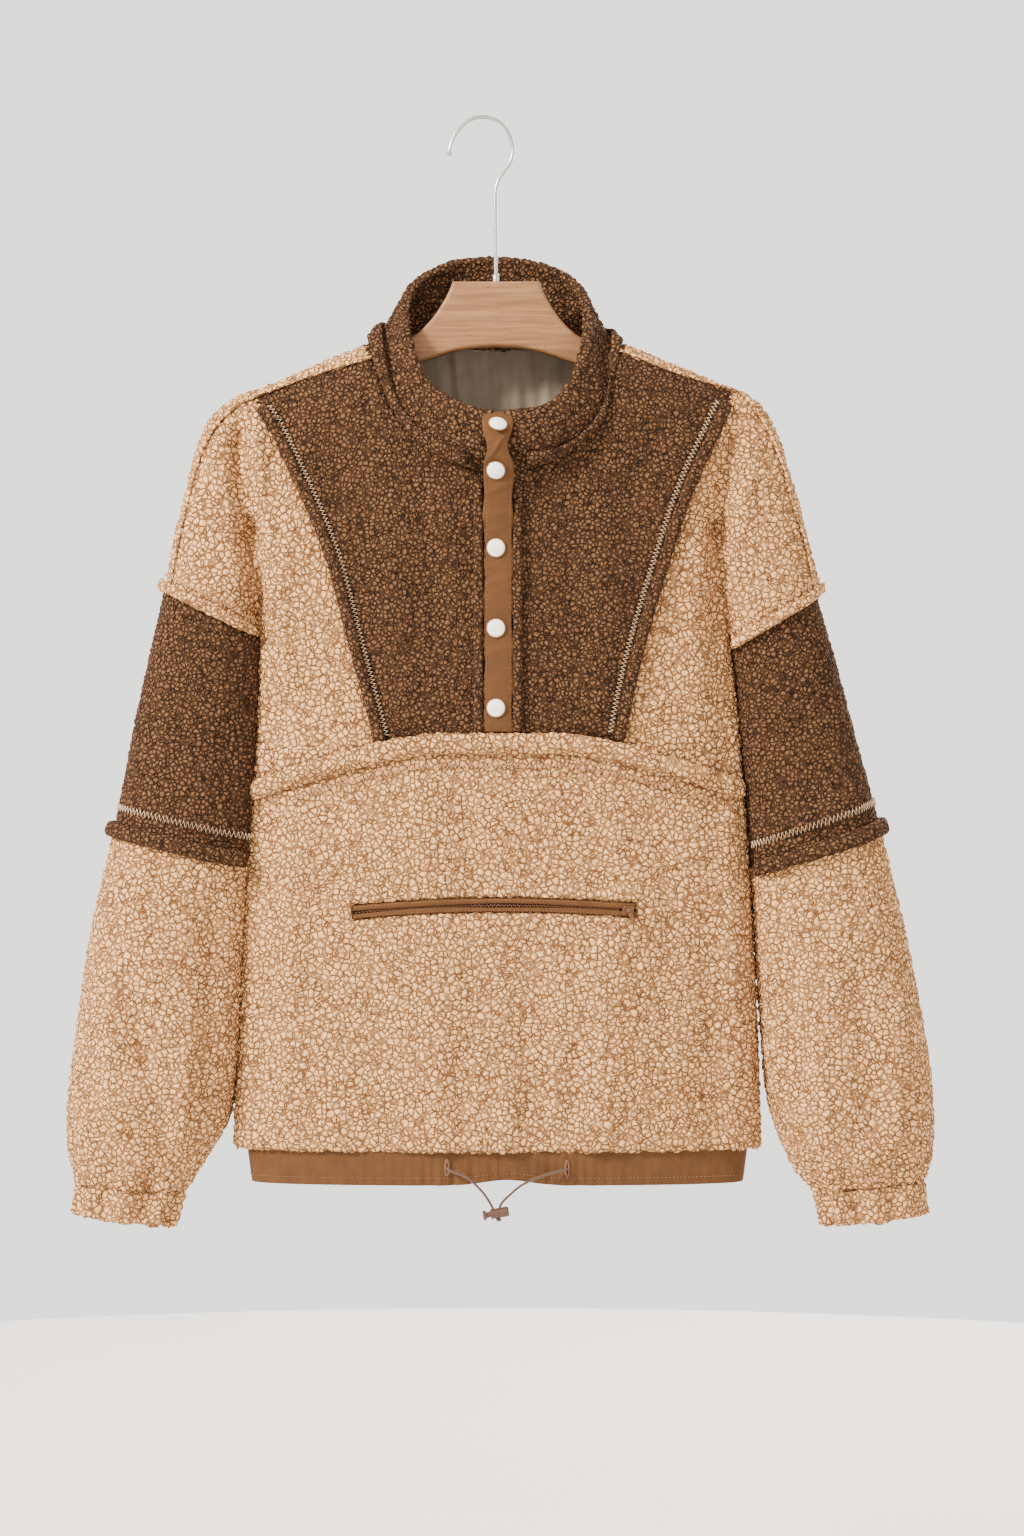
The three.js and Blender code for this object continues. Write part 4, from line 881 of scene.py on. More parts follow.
# Outer skin with its pile and the plain inner skin of one grid of cloth. Sewing flattens the pile's height
# and dents the cloth by millimetres, and lowers the pile share there to paint shade along it.
pressed = {"flat": 0.75, "dent": 0.9, "dark": 0.9}


def dressed(base, look, ring=False, press=0.0):
    normals = gridNormals(base, ring)
    share = pileOf(base, look)
    height = (look["height"] * share - look["sunk"]) * (1 - pressed["flat"] * press) - pressed["dent"] * press
    outer = base + normals * height[..., None]
    inner = (base - normals * thickness)[::2, ::2]
    return outer, inner, share * (1 - pressed["dark"] * press)


# One mark for each block of two by two quads.
def blocks(mask):
    return mask[1::2, 1::2]


# Body and sleeve heads: one grid in front, one behind and one round each sleeve head, cut into panels.
print("body panels")
bodyMesh = {"frontColumns": 241, "frontRows": 371, "backColumns": 211, "backRows": 311, "capRows": 85,
            "capColumns": 150, "hidden": 3.0, "underCollar": 3.0}
pocket = {"left": -113.5, "right": 111.0, "top": 6.4, "bottom": -5.4, "deep": 5.0, "soft": 1.6}
hemRoll = {"from": 0.991, "to": 1.0001, "deep": 5.0}
closedGap = {"sleeve": 4.8, "body": 3.8}  # How far a sleeve's inner fold and the body's side move to meet.

neckStations = np.concatenate([np.linspace(6, 0, 61), np.linspace(18, 12, 61)])
neckLineX = column(collarTable, "row", neckStations, "bx")
neckLineZ = column(collarTable, "row", neckStations, "bz")


# Inside the neck: above the seam of the collar, where the cloth ends.
def inNeck(x, z, front):
    ahead = z > np.interp(x, neckLineX, neckLineZ) + bodyMesh["underCollar"]
    behind = z > neckBackZ + bodyMesh["underCollar"]
    return (x > neckLineX[0]) & (x < neckLineX[-1]) & np.where(front, ahead, behind)


# Panel at a place: behind or over the shoulder seams, below the arch, between the yoke seams, or beside.
def panelOf(x, z, front):
    left, right = yokeSeam["left"][::-1], yokeSeam["right"][::-1]
    shoulders = np.concatenate([shoulderSeam["left"][::-1], shoulderSeam["right"]])
    over = z > np.interp(x, shoulders[:, 0], shoulders[:, 1])
    inYoke = (x > np.interp(z, left[:, 1], left[:, 0])) & (x < np.interp(z, right[:, 1], right[:, 0]))
    panel = np.where(inYoke, np.where(x < 2, 0, 1), np.where(x < 2, 2, 3))
    panel = np.where(z < archZ(x), 4, panel)
    return np.where(~front | over, 5, panel)


# Groove of the pocket: one inside the slit, with a smooth step at each of its four edges.
def pocketGroove(x, z):
    up = z - pocketZ(x)
    soft = pocket["soft"]
    tall = smooth(up, pocket["bottom"] - soft / 2, pocket["bottom"] + soft) * (
        1 - smooth(up, pocket["top"] - soft, pocket["top"] + soft / 2))
    return tall * smooth(x, pocket["left"] - 1, pocket["left"] + 2) * (
        1 - smooth(x, pocket["right"] - 2, pocket["right"] + 1))


# Front or back by angle and drop in even steps, as deep as body and sleeve heads, less groove and hem roll.
def bodyGrid(front):
    turn = np.linspace(math.pi / 2, -math.pi / 2, 900)
    if not front:
        turn = turn - math.pi
    section = bodyPoint(turn, np.full(turn.shape, 0.5))[:, :2]
    columns = bodyMesh["frontColumns"] if front else bodyMesh["backColumns"]
    rows = bodyMesh["frontRows"] if front else bodyMesh["backRows"]
    angle = evenly(section, turn, columns)
    drops = np.linspace(0, 1, 2000) ** 1.5
    fall = bodyPoint(np.full(drops.shape, 0.5 if front else 0.5 + math.pi), drops)[:, 1:]
    drop = evenly(fall, drops, rows)
    drop, angle = np.meshgrid(drop, angle, indexing="ij")
    rolled = np.clip((drop - hemRoll["from"]) / (hemRoll["to"] - hemRoll["from"]), 0, 1)
    inset = hemRoll["deep"] * (1 - np.sqrt(1 - rolled ** 2))
    base = bodyPoint(angle, drop)
    x, z = base[..., 0], base[..., 2]
    own = np.abs(base[..., 1])
    other = caps(x, z)
    depth = softMax(own, other)
    depth = depth + creaseHeight(x, z, np.full(x.shape, front)) * smooth(depth, 3, 22)
    groove = pocketGroove(x, z) if front else np.zeros(x.shape)
    # The pocket's groove also lowers the pile share, so it gets painted shade as well as its dent.
    press = np.maximum(pressedBy(x, z, np.full(x.shape, front)), groove)
    depth = depth - pocket["deep"] * groove
    base[..., 1] = np.where(front, -1, 1) * np.maximum(depth - inset * (depth > 5), 0)
    nearSleeve = smooth(-z, 385, 408) * smooth(np.abs(np.sin(angle)), 0.8, 1.0)
    across = signedPower(np.sin(angle), 2 / bodySquare)
    base[..., 0] = x - inset * across + np.sign(x) * closedGap["body"] * nearSleeve
    shown = (other - own < bodyMesh["hidden"]) & ~inNeck(x, z, front)
    return base, shown, panelOf(x, z, np.full(x.shape, front)), press


# Sleeve head by angle and row, as deep as itself and the body, blended where they are alike.
def capGrid(side):
    turn = np.linspace(0, -2 * math.pi, 1800) if side == "left" else np.linspace(0, 2 * math.pi, 1800)
    section = sleevePoint(side, turn, np.full(turn.shape, 4.0))[:, :2]
    angle = evenly(section, turn, bodyMesh["capColumns"] + 1)[:-1]
    row, angle = np.meshgrid(np.linspace(0, dropSeam, bodyMesh["capRows"]), angle, indexing="ij")
    base = sleevePoint(side, angle, row)
    x, z = base[..., 0], base[..., 2]
    front = np.cos(angle) > 0
    own = np.abs(base[..., 1])
    other = bodyDepth(x, z, front)
    depth = softMax(own, other)
    depth = depth + creaseHeight(x, z, front) * smooth(depth, 3, 22)
    base[..., 1] = np.where(front, -1, 1) * depth
    shown = (other - own < bodyMesh["hidden"]) & ~((np.abs(x) < 196) & (other <= 0) & (z > ridgeZ(x)))
    return base, shown, panelOf(x, z, front), np.zeros(x.shape)


grids = [(*bodyGrid(True), False), (*bodyGrid(False), False),
         (*capGrid("left"), True), (*capGrid("right"), True)]
panels = ["yokeLeft", "yokeRight", "sideLeft", "sideRight", "lowerFront", "backPanel"]
panelNodes = ["yoke_left", "yoke_right", "side_left", "side_right", "lower_front", "back_panel"]
dressedGrids = []
for base, shown, panel, press, ring in grids:
    brown = dressed(base, pileLooks["brown"], ring, press)
    cream = dressed(base, pileLooks["cream"], ring, press)
    dressedGrids.append((base, shown, panel, ring, brown, cream))
for number, (name, node) in enumerate(zip(panels, panelNodes)):
    walls = []
    for base, shown, panel, ring, brown, cream in dressedGrids:
        outer, inner, pile = brown if number < 2 else cream
        keep = blocks(shown & (panel == number))
        if keep.any():
            walls.append((outer, base, inner, pile, keep, ring))
    clothPiece(name, walls, brownSherpa if number < 2 else creamSherpa, [node])


# Sleeves below the drop seam: brown band, cream lower sleeve with its gathers, and the cuff.
print("sleeves")
sleeveMesh = {"columns": 160, "step": 1.85}
gathers = {"count": 9, "height": 2.6, "from": 13.0, "uneven": 0.45}
sleeveCreases = tableOf("x0 z0 x1 z1 wide rise side", """
-262 -480 -214 -500 9 -1.8 1
-298 -540 -250 -560 10 1.6 1
-286 -700 -262 -800 12 -3.2 1
-310 -690 -300 -800 10 2.6 1
-238 -720 -246 -810 9 2.4 1
-262 -600 -222 -625 10 -1.8 1
-300 -640 -262 -668 11 1.6 1
-222 -640 -232 -760 9 -2.2 1
288 -700 296 -805 11 -3.0 1
322 -690 318 -800 10 2.6 1
248 -720 262 -812 9 2.4 1
262 -600 226 -622 10 -1.8 1
300 -640 268 -664 11 1.6 1
232 -650 240 -770 9 -2.2 1
258 -478 214 -498 9 -1.8 1
292 -538 252 -560 10 1.6 1
-300 -560 -240 -600 12 -2.2 -1
-280 -690 -258 -800 12 -3.0 -1
-318 -700 -306 -800 10 2.6 -1
300 -560 244 -600 12 -2.2 -1
284 -695 272 -805 12 -3.0 -1
326 -700 314 -800 10 2.6 -1
""")
sleeveParts = {
    "sleeveBand": {"from": dropSeam, "to": bandSeam, "look": "brown", "node": "sleeve_band"},
    "sleeveLower": {"from": bandSeam, "to": cuffSeam, "look": "cream", "node": "sleeve_lower"},
    "cuff": {"from": cuffSeam, "to": cuffEdge, "look": "cream", "node": "cuff"}}


# Gathers: a wave round the sleeve that grows with the square of the way down to the cuff.
def gatherWave(angle, row):
    near = np.clip((row - gathers["from"]) / (cuffSeam - gathers["from"]), 0, 1)
    uneven = 1 + gathers["uneven"] * np.sin(2 * angle + 0.7)
    return gathers["height"] * near * near * np.cos(gathers["count"] * angle + 0.5 * np.sin(angle)) * uneven


# Sleeve cloth by angle and row, with its gathers, creases, the pinch of the cuff seam and a rolled end.
def sleeveCloth(side, angle, row, lift=0.0):
    wave = gatherWave(angle, row)
    pinch = 1.8 * np.exp(-((row - cuffSeam) / 0.07) ** 2)
    roll = 4.0 * (1 - np.sqrt(1 - np.clip((row - 15.85) / 0.1501, 0, 1) ** 2))
    base = sleevePoint(side, angle, row, pinch + roll - lift, wave)
    way = 1 if side == "left" else -1
    near = smooth(way * np.sin(angle), 0.55, 0.95) * (1 - smooth(row, 13.0, 15.0)) * smooth(row, 5.7, 6.3)
    base[..., 0] += way * closedGap["sleeve"] * near
    deep = np.cos(angle)
    crease = creaseHeight(base[..., 0], base[..., 2], deep > 0, sleeveCreases)
    base[..., 1] -= np.sign(deep) * crease * smooth(np.abs(deep), 0.1, 0.6)
    return base


for side in ("left", "right"):
    way = -1 if side == "left" else 1
    turn = np.linspace(0, way * 2 * math.pi, 1800)
    section = sleevePoint(side, turn, np.full(turn.shape, 10.0))[:, :2]
    columns = evenly(section, turn, sleeveMesh["columns"] + 1)[:-1]
    for part, cut in sleeveParts.items():
        fall = sleevePoint(side, np.zeros(200), np.linspace(cut["from"], cut["to"], 200))[:, [0, 2]]
        long = np.linalg.norm(np.diff(fall, axis=0), axis=1).sum()
        count = int(round(long / sleeveMesh["step"] / 2)) * 2 + 1
        row, angle = np.meshgrid(np.linspace(cut["from"], cut["to"], count), columns, indexing="ij")
        base = sleeveCloth(side, angle, row)
        outer, inner, pile = dressed(base, pileLooks[cut["look"]], True)
        keep = np.ones((count // 2, sleeveMesh["columns"] // 2), bool)
        name = part + side.capitalize()
        finish = sherpas[cut["look"]]
        clothPiece(name, [(outer, base, inner, pile, keep, True)], finish, [f"{cut['node']}_{side}"])


# Turns a closed skin's faces outwards, from the sign of its volume by fans of each face.
def outwards(points, faceSets):
    volume = 0.0
    for faces in faceSets:
        faces = np.asarray(faces)
        for k in range(1, faces.shape[1] - 1):
            a, b, c = points[faces[:, 0]], points[faces[:, k]], points[faces[:, k + 1]]
            volume += float((a * np.cross(b, c)).sum())
    return faceSets if volume > 0 else [np.asarray(faces)[:, ::-1] for faces in faceSets]


# A piece from rings of points, closed by a flat face at either end.
def skinPiece(name, points, finish, stands=(), pile=None, uv=None):
    faces = outwards(points.reshape(-1, 3), tubeFaces(*points.shape[:2]))
    return makePiece(name, points, faces, finish, stands, pile, uv)


# A raised tape of folded sherpa: a flat oval section carried along a line on the cloth.
# spot(s, across, up) gives points for shares along, millimetres across and millimetres off the cloth.
def tape(name, spot, length, kind, colour, stands, step=1.7, end=3):
    wide, high = tapes[kind]["wide"], tapes[kind]["high"]
    look = pileLooks[colour]
    rows = int(length / step)
    columns = max(int((2 * wide + 2 * high) / step), 10)
    t = np.linspace(0, 2 * math.pi, columns, endpoint=False)
    s, t = np.meshgrid(np.linspace(0, 1, rows), t, indexing="ij")
    far = s * length
    narrow = np.sqrt(np.clip(np.minimum(far, length - far) / end + 0.12, 0, 1))
    across = wide / 2 * signedPower(np.cos(t), 0.75) * narrow
    up = 0.9 + high * np.where(np.sin(t) > 0, np.sin(t) ** 0.6, 0.25 * np.sin(t)) * narrow
    base = spot(s, across, up)
    normals = gridNormals(base, True)
    share = pileOf(base, look)
    top = smooth(np.sin(t), -0.3, 0.3)
    height = (look["height"] * share - look["sunk"] * 0.9) * 0.75 * top
    faces = tubeFaces(rows, columns)
    flat = base.reshape(-1, 3)
    centre = (base - base.mean(axis=1, keepdims=True))
    way = 1.0 if (normals * centre).sum() > 0 else -1.0
    points = base + way * normals * height[..., None]
    return makePiece(name, points, outwards(flat, faces), sherpas[colour], stands, share)


print("seam tapes")
tapes = {
    "yoke": {"wide": 9.5, "high": 4.8}, "arch": {"wide": 15.5, "high": 6.4},
    "drop": {"wide": 12.5, "high": 5.4}, "band": {"wide": 11.5, "high": 6.0},
    "placket": {"wide": 7.5, "high": 3.8}, "collar": {"wide": 16.0, "high": 3.6}}


# Position along a line of x and z on the front, with the step across square to the line.
def onFront(line):
    line = np.asarray(line, float)
    side = along(line, 1.0) - line
    share = np.linspace(0, 1, len(line))

    def spot(s, across, up):
        x = np.interp(s, share, line[:, 0]) + np.interp(s, share, side[:, 0]) * across
        z = np.interp(s, share, line[:, 1]) + np.interp(s, share, side[:, 1]) * across
        return lifted(x, z, up)

    return spot


# Length of a line of points.
def lengthOf(line):
    return float(np.linalg.norm(np.diff(np.asarray(line, float), axis=0), axis=1).sum())


# Sleeve seams: row of the sleeve table, its millimetres a row, and the colour of the raised edge.
sleeveSeams = {
    "drop": {"row": dropSeam, "rowLength": 62.0, "colour": "cream"},
    "band": {"row": bandSeam, "rowLength": 60.0, "colour": "brown"}}
tapeTurn = np.linspace(1.12, -2 * math.pi + 2.0, 400)
for side in ("left", "right"):
    line = resampled(yokeSeam[side], 3.0)[2:-1]
    tape(f"yokeTape{side.capitalize()}", onFront(line), lengthOf(line), "yoke", "brown", [f"yoke_edge_{side}"])
    for seam, at in sleeveSeams.items():
        ring = sleevePoint(side, tapeTurn, np.full(tapeTurn.shape, at["row"]))
        evenTurn = evenly(ring, tapeTurn, len(tapeTurn))

        def spot(s, across, up, side=side, at=at, evenTurn=evenTurn):
            angle = np.interp(s, np.linspace(0, 1, len(evenTurn)), evenTurn)
            return sleeveCloth(side, angle, at["row"] + 0.02 - across / at["rowLength"], up)

        name = f"{seam}Tape{side.capitalize()}"
        tape(name, spot, lengthOf(ring), seam, at["colour"], [f"{seam}_edge_{side}"])

archAngles = np.linspace(-1.42, 1.42, 500)


# The arched seam by angle: its drop is found by stepping towards the arch's height at that x.
def archSpot(s, across, up):
    angle = np.interp(s, np.linspace(0, 1, 500), evenArch)
    spotX = np.zeros(angle.shape)
    for _ in range(5):
        z = archZ(spotX) + across
        top = ridgeZ(spotX)
        base = bodyPoint(angle, (top - z) / (top - hemZ), -up)
        spotX = base[..., 0]
    crease = creaseHeight(base[..., 0], base[..., 2], np.ones(angle.shape, bool))
    base[..., 1] -= crease * smooth(np.abs(base[..., 1]), 3, 22)
    return base


evenArch = archAngles
evenArch = evenly(archSpot(np.linspace(0, 1, 500), np.zeros(500), np.zeros(500)), archAngles, 500)
archLine = archSpot(np.linspace(0, 1, 500), np.zeros(500), np.zeros(500))
tape("archTape", archSpot, lengthOf(archLine), "arch", "cream", ["arch_edge"])
placketEdges = {"left": -13.7, "right": 17.3}
for side, x in placketEdges.items():
    line = np.stack([np.full(80, x), np.linspace(-292, -492, 80)], axis=1)
    name = f"placketTape{side.capitalize()}"
    tape(name, onFront(line), lengthOf(line), "placket", "brown", [f"placket_edge_{side}"])


# Collar: neck seam, bulge and rim by station, and its doubled wall turned inwards.
print("collar")
collar = {"wall": 9.0, "stations": 300, "outside": 46, "rim": 9, "inside": 30, "under": 5}


# A parabola by height through seam, bulge and rim, set in towards the axis of the neck.
def collarPoint(station, height, inward=0.0, up=0.0):
    names = ("bx", "bz", "mx", "my", "mz", "tx", "ty", "tz")
    bx, bz, mx, my, mz, tx, ty, tz = (column(collarTable, "row", station, name) for name in names)
    behind = (station > collarSides[0]) & (station < collarSides[1])
    bz = np.where(behind, neckBackZ, bz)
    depth = np.maximum(bodyDepth(bx, bz, ~behind) - 1, 0)
    base = np.stack([bx, np.where(behind, depth, -depth), bz], axis=-1)
    bulge, rim = np.stack([mx, my, mz], axis=-1), np.stack([tx, ty, tz], axis=-1)
    h = np.broadcast_to(height, bx.shape)[..., None]
    spot = base * (1 - h) * (1 - 2 * h) + bulge * 4 * h * (1 - h) + rim * h * (2 * h - 1)
    axis = np.array([2.0, -4.0, 0.0]) - spot
    axis[..., 2] = 0
    spot = spot + unit(axis) * np.broadcast_to(inward, bx.shape)[..., None]
    spot[..., 2] += up
    return spot


profileHeight = np.concatenate([np.linspace(0, 1, collar["outside"], endpoint=False), np.ones(collar["rim"]),
                                np.linspace(1, 0, collar["inside"]), np.zeros(collar["under"])])
rimTurn = np.linspace(0, math.pi, collar["rim"], endpoint=False)
profileIn = np.concatenate([np.zeros(collar["outside"]), collar["wall"] / 2 * (1 - np.cos(rimTurn)),
                            np.full(collar["inside"], collar["wall"]),
                            np.linspace(collar["wall"], 0, collar["under"] + 2)[1:-1]])
profileUp = np.concatenate([np.zeros(collar["outside"]), collar["wall"] / 2 * np.sin(rimTurn),
                            np.zeros(collar["inside"] + collar["under"])])
rough = np.linspace(0, 18, 1500)
collarStations = evenly(collarPoint(rough, 0.6), rough, collar["stations"])
station, turn = np.meshgrid(collarStations, np.arange(len(profileHeight)), indexing="ij")
base = collarPoint(station, profileHeight[turn], profileIn[turn], profileUp[turn])
ripple = 0.8 * np.sin(station * 1.9 + 0.8) * np.sin(profileHeight[turn] * math.pi)
normals = gridNormals(base, True)
if (normals[:, 5] * (base[:, 5] - np.array([2.0, -4.0, -200.0]))).sum() < 0:
    normals = -normals
share = pileOf(base, pileLooks["brown"])
height = pileLooks["brown"]["height"] * share - pileLooks["brown"]["sunk"] + ripple
points = base + normals * height[..., None]
faces = outwards(base.reshape(-1, 3), tubeFaces(*station.shape))
makePiece("foldedCollar", points, faces, brownSherpa, ["collar"], share)
measured["foldedCollar"] = round(lengthOf(collarPoint(rough, 0.6)) * 2 * 62 * 1e-6, 4)


# Raised edge at the foot of the collar: lifted off it, square to its run and rise.
def collarTapeSpot(s, across, up):
    station = 1 + 16 * s
    h = 0.2 + across / 62.0
    spot = collarPoint(station, h)
    run = collarPoint(station + 0.05, h) - collarPoint(station - 0.05, h)
    rise = collarPoint(station, h + 0.02) - collarPoint(station, h - 0.02)
    out = -unit(np.cross(run, rise))
    return spot + out * (np.asarray(up) + 0.8)[..., None]


collarRing = collarPoint(np.linspace(1, 17, 800), 0.2)
tape("collarTape", collarTapeSpot, lengthOf(collarRing), "collar", "brown", ["collar_edge"])


# Placket: a doubled woven strip from the collar's rim to the arch, folded over at its top.
print("placket and snaps")
placket = {"thick": 2.0, "bottom": -492.0, "left": -9.4, "right": 13.6, "step": 1.6, "across": 15}
placketTable = tableOf("z left right y", """
-240 -10.5 14.5 -52.5
-243 -10.5 14.5 -56.5
-247 -10.2 14.2 -60.5
-252 -9.6 13.6 -63.6
-257 -8.8 12.2 -65.6
-264 -7.4 10.0 -66.5
-272 -7.6 10.4 -65
-280 -9.6 13.4 -62
-290 -9.4 13.4 -58.5
-300 -9.4 13.6 -54.5
-312 -9.4 13.6 -50.5
-326 -9.4 13.6 -48.2
""")
wrinkles = tableOf("z side slope rise", """
-300 0 0.4 1.1
-309 -1 -0.3 0.8
-319 1 0.15 0.9
-362 0 -0.2 0.8
-371 0 0.25 0.7
-331 0 0.3 0.6
-426 0 0.2 0.7
-449 0 -0.25 0.6
-268 0 1.1 1.4
""")


# Both edges and the depth of the placket: its table above, the face of the yokes below.
def placketAt(z):
    onYoke = -dressedDepth(np.full(z.shape, 2.0), z, np.ones(z.shape, bool)) - 1
    share = smooth(-z, 322, 332)
    left, right, y = (column(placketTable, "z", z, name) for name in ("left", "right", "y"))
    return left, right, mix(y, onYoke, share)


z = np.arange(-240, placket["bottom"], -placket["step"])
left, right, y = placketAt(z)
u = np.concatenate([np.linspace(-1, 1, placket["across"]), np.linspace(1, -1, placket["across"])])
behind = np.concatenate([np.zeros(placket["across"]), np.ones(placket["across"])])
zz, uu = np.meshgrid(z, u, indexing="ij")
left, right, y = (np.repeat(a[:, None], len(u), axis=1) for a in (left, right, y))
swell = 0.35 * (1 - np.abs(uu) ** 6) - 0.45 * np.exp(-((np.abs(uu) - 0.8) / 0.07) ** 2)
pucker = 0.3 * np.sin(zz * 0.9 + 2 * np.sin(zz * 0.21)) * np.abs(uu) ** 3
for wrinkleZ, wrinkleX, slope, rise in zip(*(wrinkles[name] for name in ("z", "side", "slope", "rise"))):
    fold = np.exp(-((zz - wrinkleZ - slope * uu * 11.5) / 2.6) ** 2)
    pucker += rise * fold * (1 - 0.5 * np.abs(uu - wrinkleX))
face = y + 0.5 * uu ** 2 - placket["thick"] - swell - pucker
xx = mix(left, right, (1 + uu) / 2) + 0.6 * np.sin(zz * 0.19) * uu + 0.5 * np.sin(zz * 0.083)
points = np.stack([xx, np.where(behind > 0, y + 0.5 * uu ** 2, face), zz], axis=-1)
uv = np.stack([xx, zz], axis=-1)
skinPiece("placketStrip", points, brownWoven, ["placket"], None, uv)

snap = {"radius": 7.5, "sides": 40}
snapPlaces = tableOf("x z tilt", """
1.8 -251.2 0.9
0.2 -286.6 -0.35
0.2 -346.3 0
0.2 -409.2 0
0.2 -472 0
""")
# rim is one on the cap's outer edge and underside, which the ivory finish paints brown as a shadow ring.
snapProfile = tableOf("r h rim", """
0.05 0 1
7.2 0 1
7.6 0.35 1
7.6 0.8 1
7.2 1.05 1
6.85 0.8 1
6.7 1.15 0
6.2 1.45 0
5.2 1.85 0
3.6 2.2 0
1.9 2.38 0
0.05 2.4 0
""")
for number, (x, z, tilt) in enumerate(zip(*(snapPlaces[name] for name in ("x", "z", "tilt")))):
    spots = np.array([z - 4, z, z + 4])
    low, here, high = placketAt(spots)[2]
    stand = unit(np.array([math.sin(tilt) * 0.3, -1, (high - low) / 8 + tilt * 0.4]))
    centre = np.array([x, here - placket["thick"] - 0.7 - abs(tilt) * 1.6, z])
    sideways = unit(np.cross(stand, np.array([0.0, 0.0, 1.0])))
    upwards = np.cross(sideways, stand)
    turn = np.linspace(0, 2 * math.pi, snap["sides"], endpoint=False)
    r, h, rim = (snapProfile[name][:, None] * np.ones(len(turn)) for name in ("r", "h", "rim"))
    ring = np.cos(turn)[None, :, None] * sideways + np.sin(turn)[None, :, None] * upwards
    points = centre + ring * r[..., None] + stand * h[..., None]
    skinPiece(f"snapCap{number + 1}", points, ivory, [f"snap_{number + 1}"], rim)


# Hem casing: a woven band round the hem, a ring of small profiles, with gathers and a lifted front edge.
print("hem band, pocket and cords")
band = {"top": -812.0, "bottom": -848.0, "halfTop": 201.3, "halfBottom": 196.5, "front": 37.0, "back": 31.0,
        "middle": 1.2, "thick": 2.0, "around": 700, "down": 22, "gather": 1.0, "lift": 4.5}


# Casing: the oval of the body, narrowing downwards, with small gathers, more beside the buttonholes.
def bandPoint(angle, share, inset=0.0):
    half = mix(band["halfTop"], band["halfBottom"], share) - inset
    across, deep = signedPower(np.sin(angle), 2 / bodySquare), signedPower(np.cos(angle), 2 / bodySquare)
    depth = np.where(deep > 0, band["front"], band["back"]) - inset - share
    x = band["middle"] + half * across
    z = mix(band["top"], band["bottom"], share)
    z = z + band["lift"] * share * np.exp(-((x - 8.8) / 26) ** 2) * (deep > 0)
    pull = np.exp(-((np.abs(x - 8.8) - 48) / 26) ** 2) * (deep > 0)
    wave = np.sin(x * 0.36 + 2.2 * np.sin(x * 0.05)) * (0.35 + 0.9 * pull) + 0.5 * np.sin(x * 0.83 + 1.1)
    puff = 0.9 * np.sin(np.pi * np.clip(share, 0, 1)) + band["gather"] * wave * share * (0.35 + 0.65 * pull)
    return np.stack([x, -(depth + puff) * deep, z], axis=-1)


turn = np.linspace(0, -2 * math.pi, 3000)
turns = evenly(bandPoint(turn, np.full(turn.shape, 0.5))[:, :2], turn, band["around"] + 1)[:-1]
down = band["down"]
fold = np.linspace(0, math.pi, 6)[1:-1]
shares = np.concatenate([np.linspace(0, 1, down), np.ones(4), np.linspace(1, 0, 8)])
insets = np.concatenate([np.zeros(down), 1 - np.cos(fold), np.full(8, band["thick"])])
drops = np.concatenate([np.zeros(down), -np.sin(fold) * 1.0, np.zeros(8)])
angle, k = np.meshgrid(turns, np.arange(len(shares)), indexing="ij")
points = bandPoint(angle, shares[k], insets[k])
points[..., 2] += drops[k]
far = np.concatenate([[0], np.cumsum(np.linalg.norm(np.diff(points[:, 0], axis=0), axis=1))])
uv = np.stack([far[:, None] + 0 * k, points[..., 2]], axis=-1)
faces = outwards(points.reshape(-1, 3), [gridFaces(*angle.shape, ringRows=True, ringColumns=True)])
makePiece("hemCasing", points, faces, brownWoven, ["hem_band"], None, uv)
measured["hemCasing"] = round(far[-1] * 36 * 1e-6, 4)


# A round tube along points, with a radius for each, closed at both ends. UV: round it, and along in mm.
def tube(name, line, radius, sides, finish, stands=(), pile=None):
    line = np.asarray(line, float)
    radius = np.broadcast_to(np.asarray(radius, float), len(line))
    run = unit(np.gradient(line, axis=0))
    # The side direction starts square to the first step and is kept square by each later one.
    side = np.zeros_like(line)
    first = np.array([0.0, 0.0, 1.0]) if abs(run[0, 2]) < 0.8 else np.array([0.0, 1.0, 0.0])
    for k in range(len(line)):
        before = first if k == 0 else side[k - 1]
        side[k] = unit(before - run[k] * (before @ run[k]))
    other = np.cross(run, side)
    turn = np.linspace(0, 2 * math.pi, sides, endpoint=False)
    ring = np.cos(turn)[None, :, None] * side[:, None] + np.sin(turn)[None, :, None] * other[:, None]
    points = line[:, None] + ring * radius[:, None, None]
    far = np.concatenate([[0], np.cumsum(np.linalg.norm(np.diff(line, axis=0), axis=1))])
    uv = np.stack(np.broadcast_arrays(turn[None, :] / (2 * math.pi), far[:, None]), axis=-1)
    pile = None if pile is None else np.full(points.shape[:2], pile)
    return skinPiece(name, points, finish, stands, pile, uv)


cordRoutes = {
    "left": [(-38.5, -36.5, -834.5), (-38.2, -39, -834.8), (-36, -41, -836.2), (-32, -41.8, -837.8),
             (-25.1, -42, -840.1), (-18.1, -42, -845.2), (-11.1, -42, -852.2), (-6.1, -42, -859),
             (-2.6, -42, -865.2), (-1.6, -42, -867.4)],
    "right": [(56.1, -36.2, -835.5), (55.8, -38.8, -835.6), (53.4, -40.9, -836), (48, -41.8, -837),
              (33.1, -42, -841.6), (19.9, -42, -847.9), (10, -42, -856.2), (5.4, -42, -860.8),
              (3.2, -42, -864.4), (3.1, -42, -865.7)]}
lock = {"x": 1.4, "y": -42.0, "z": -869.6, "radius": 4.0}
knotTurn = np.linspace(0, 2 * math.pi, 73)
knotSize = 0.62
knotCentre = np.array([lock["x"] + 0.9, lock["y"], lock["z"] - lock["radius"] - 1.2])
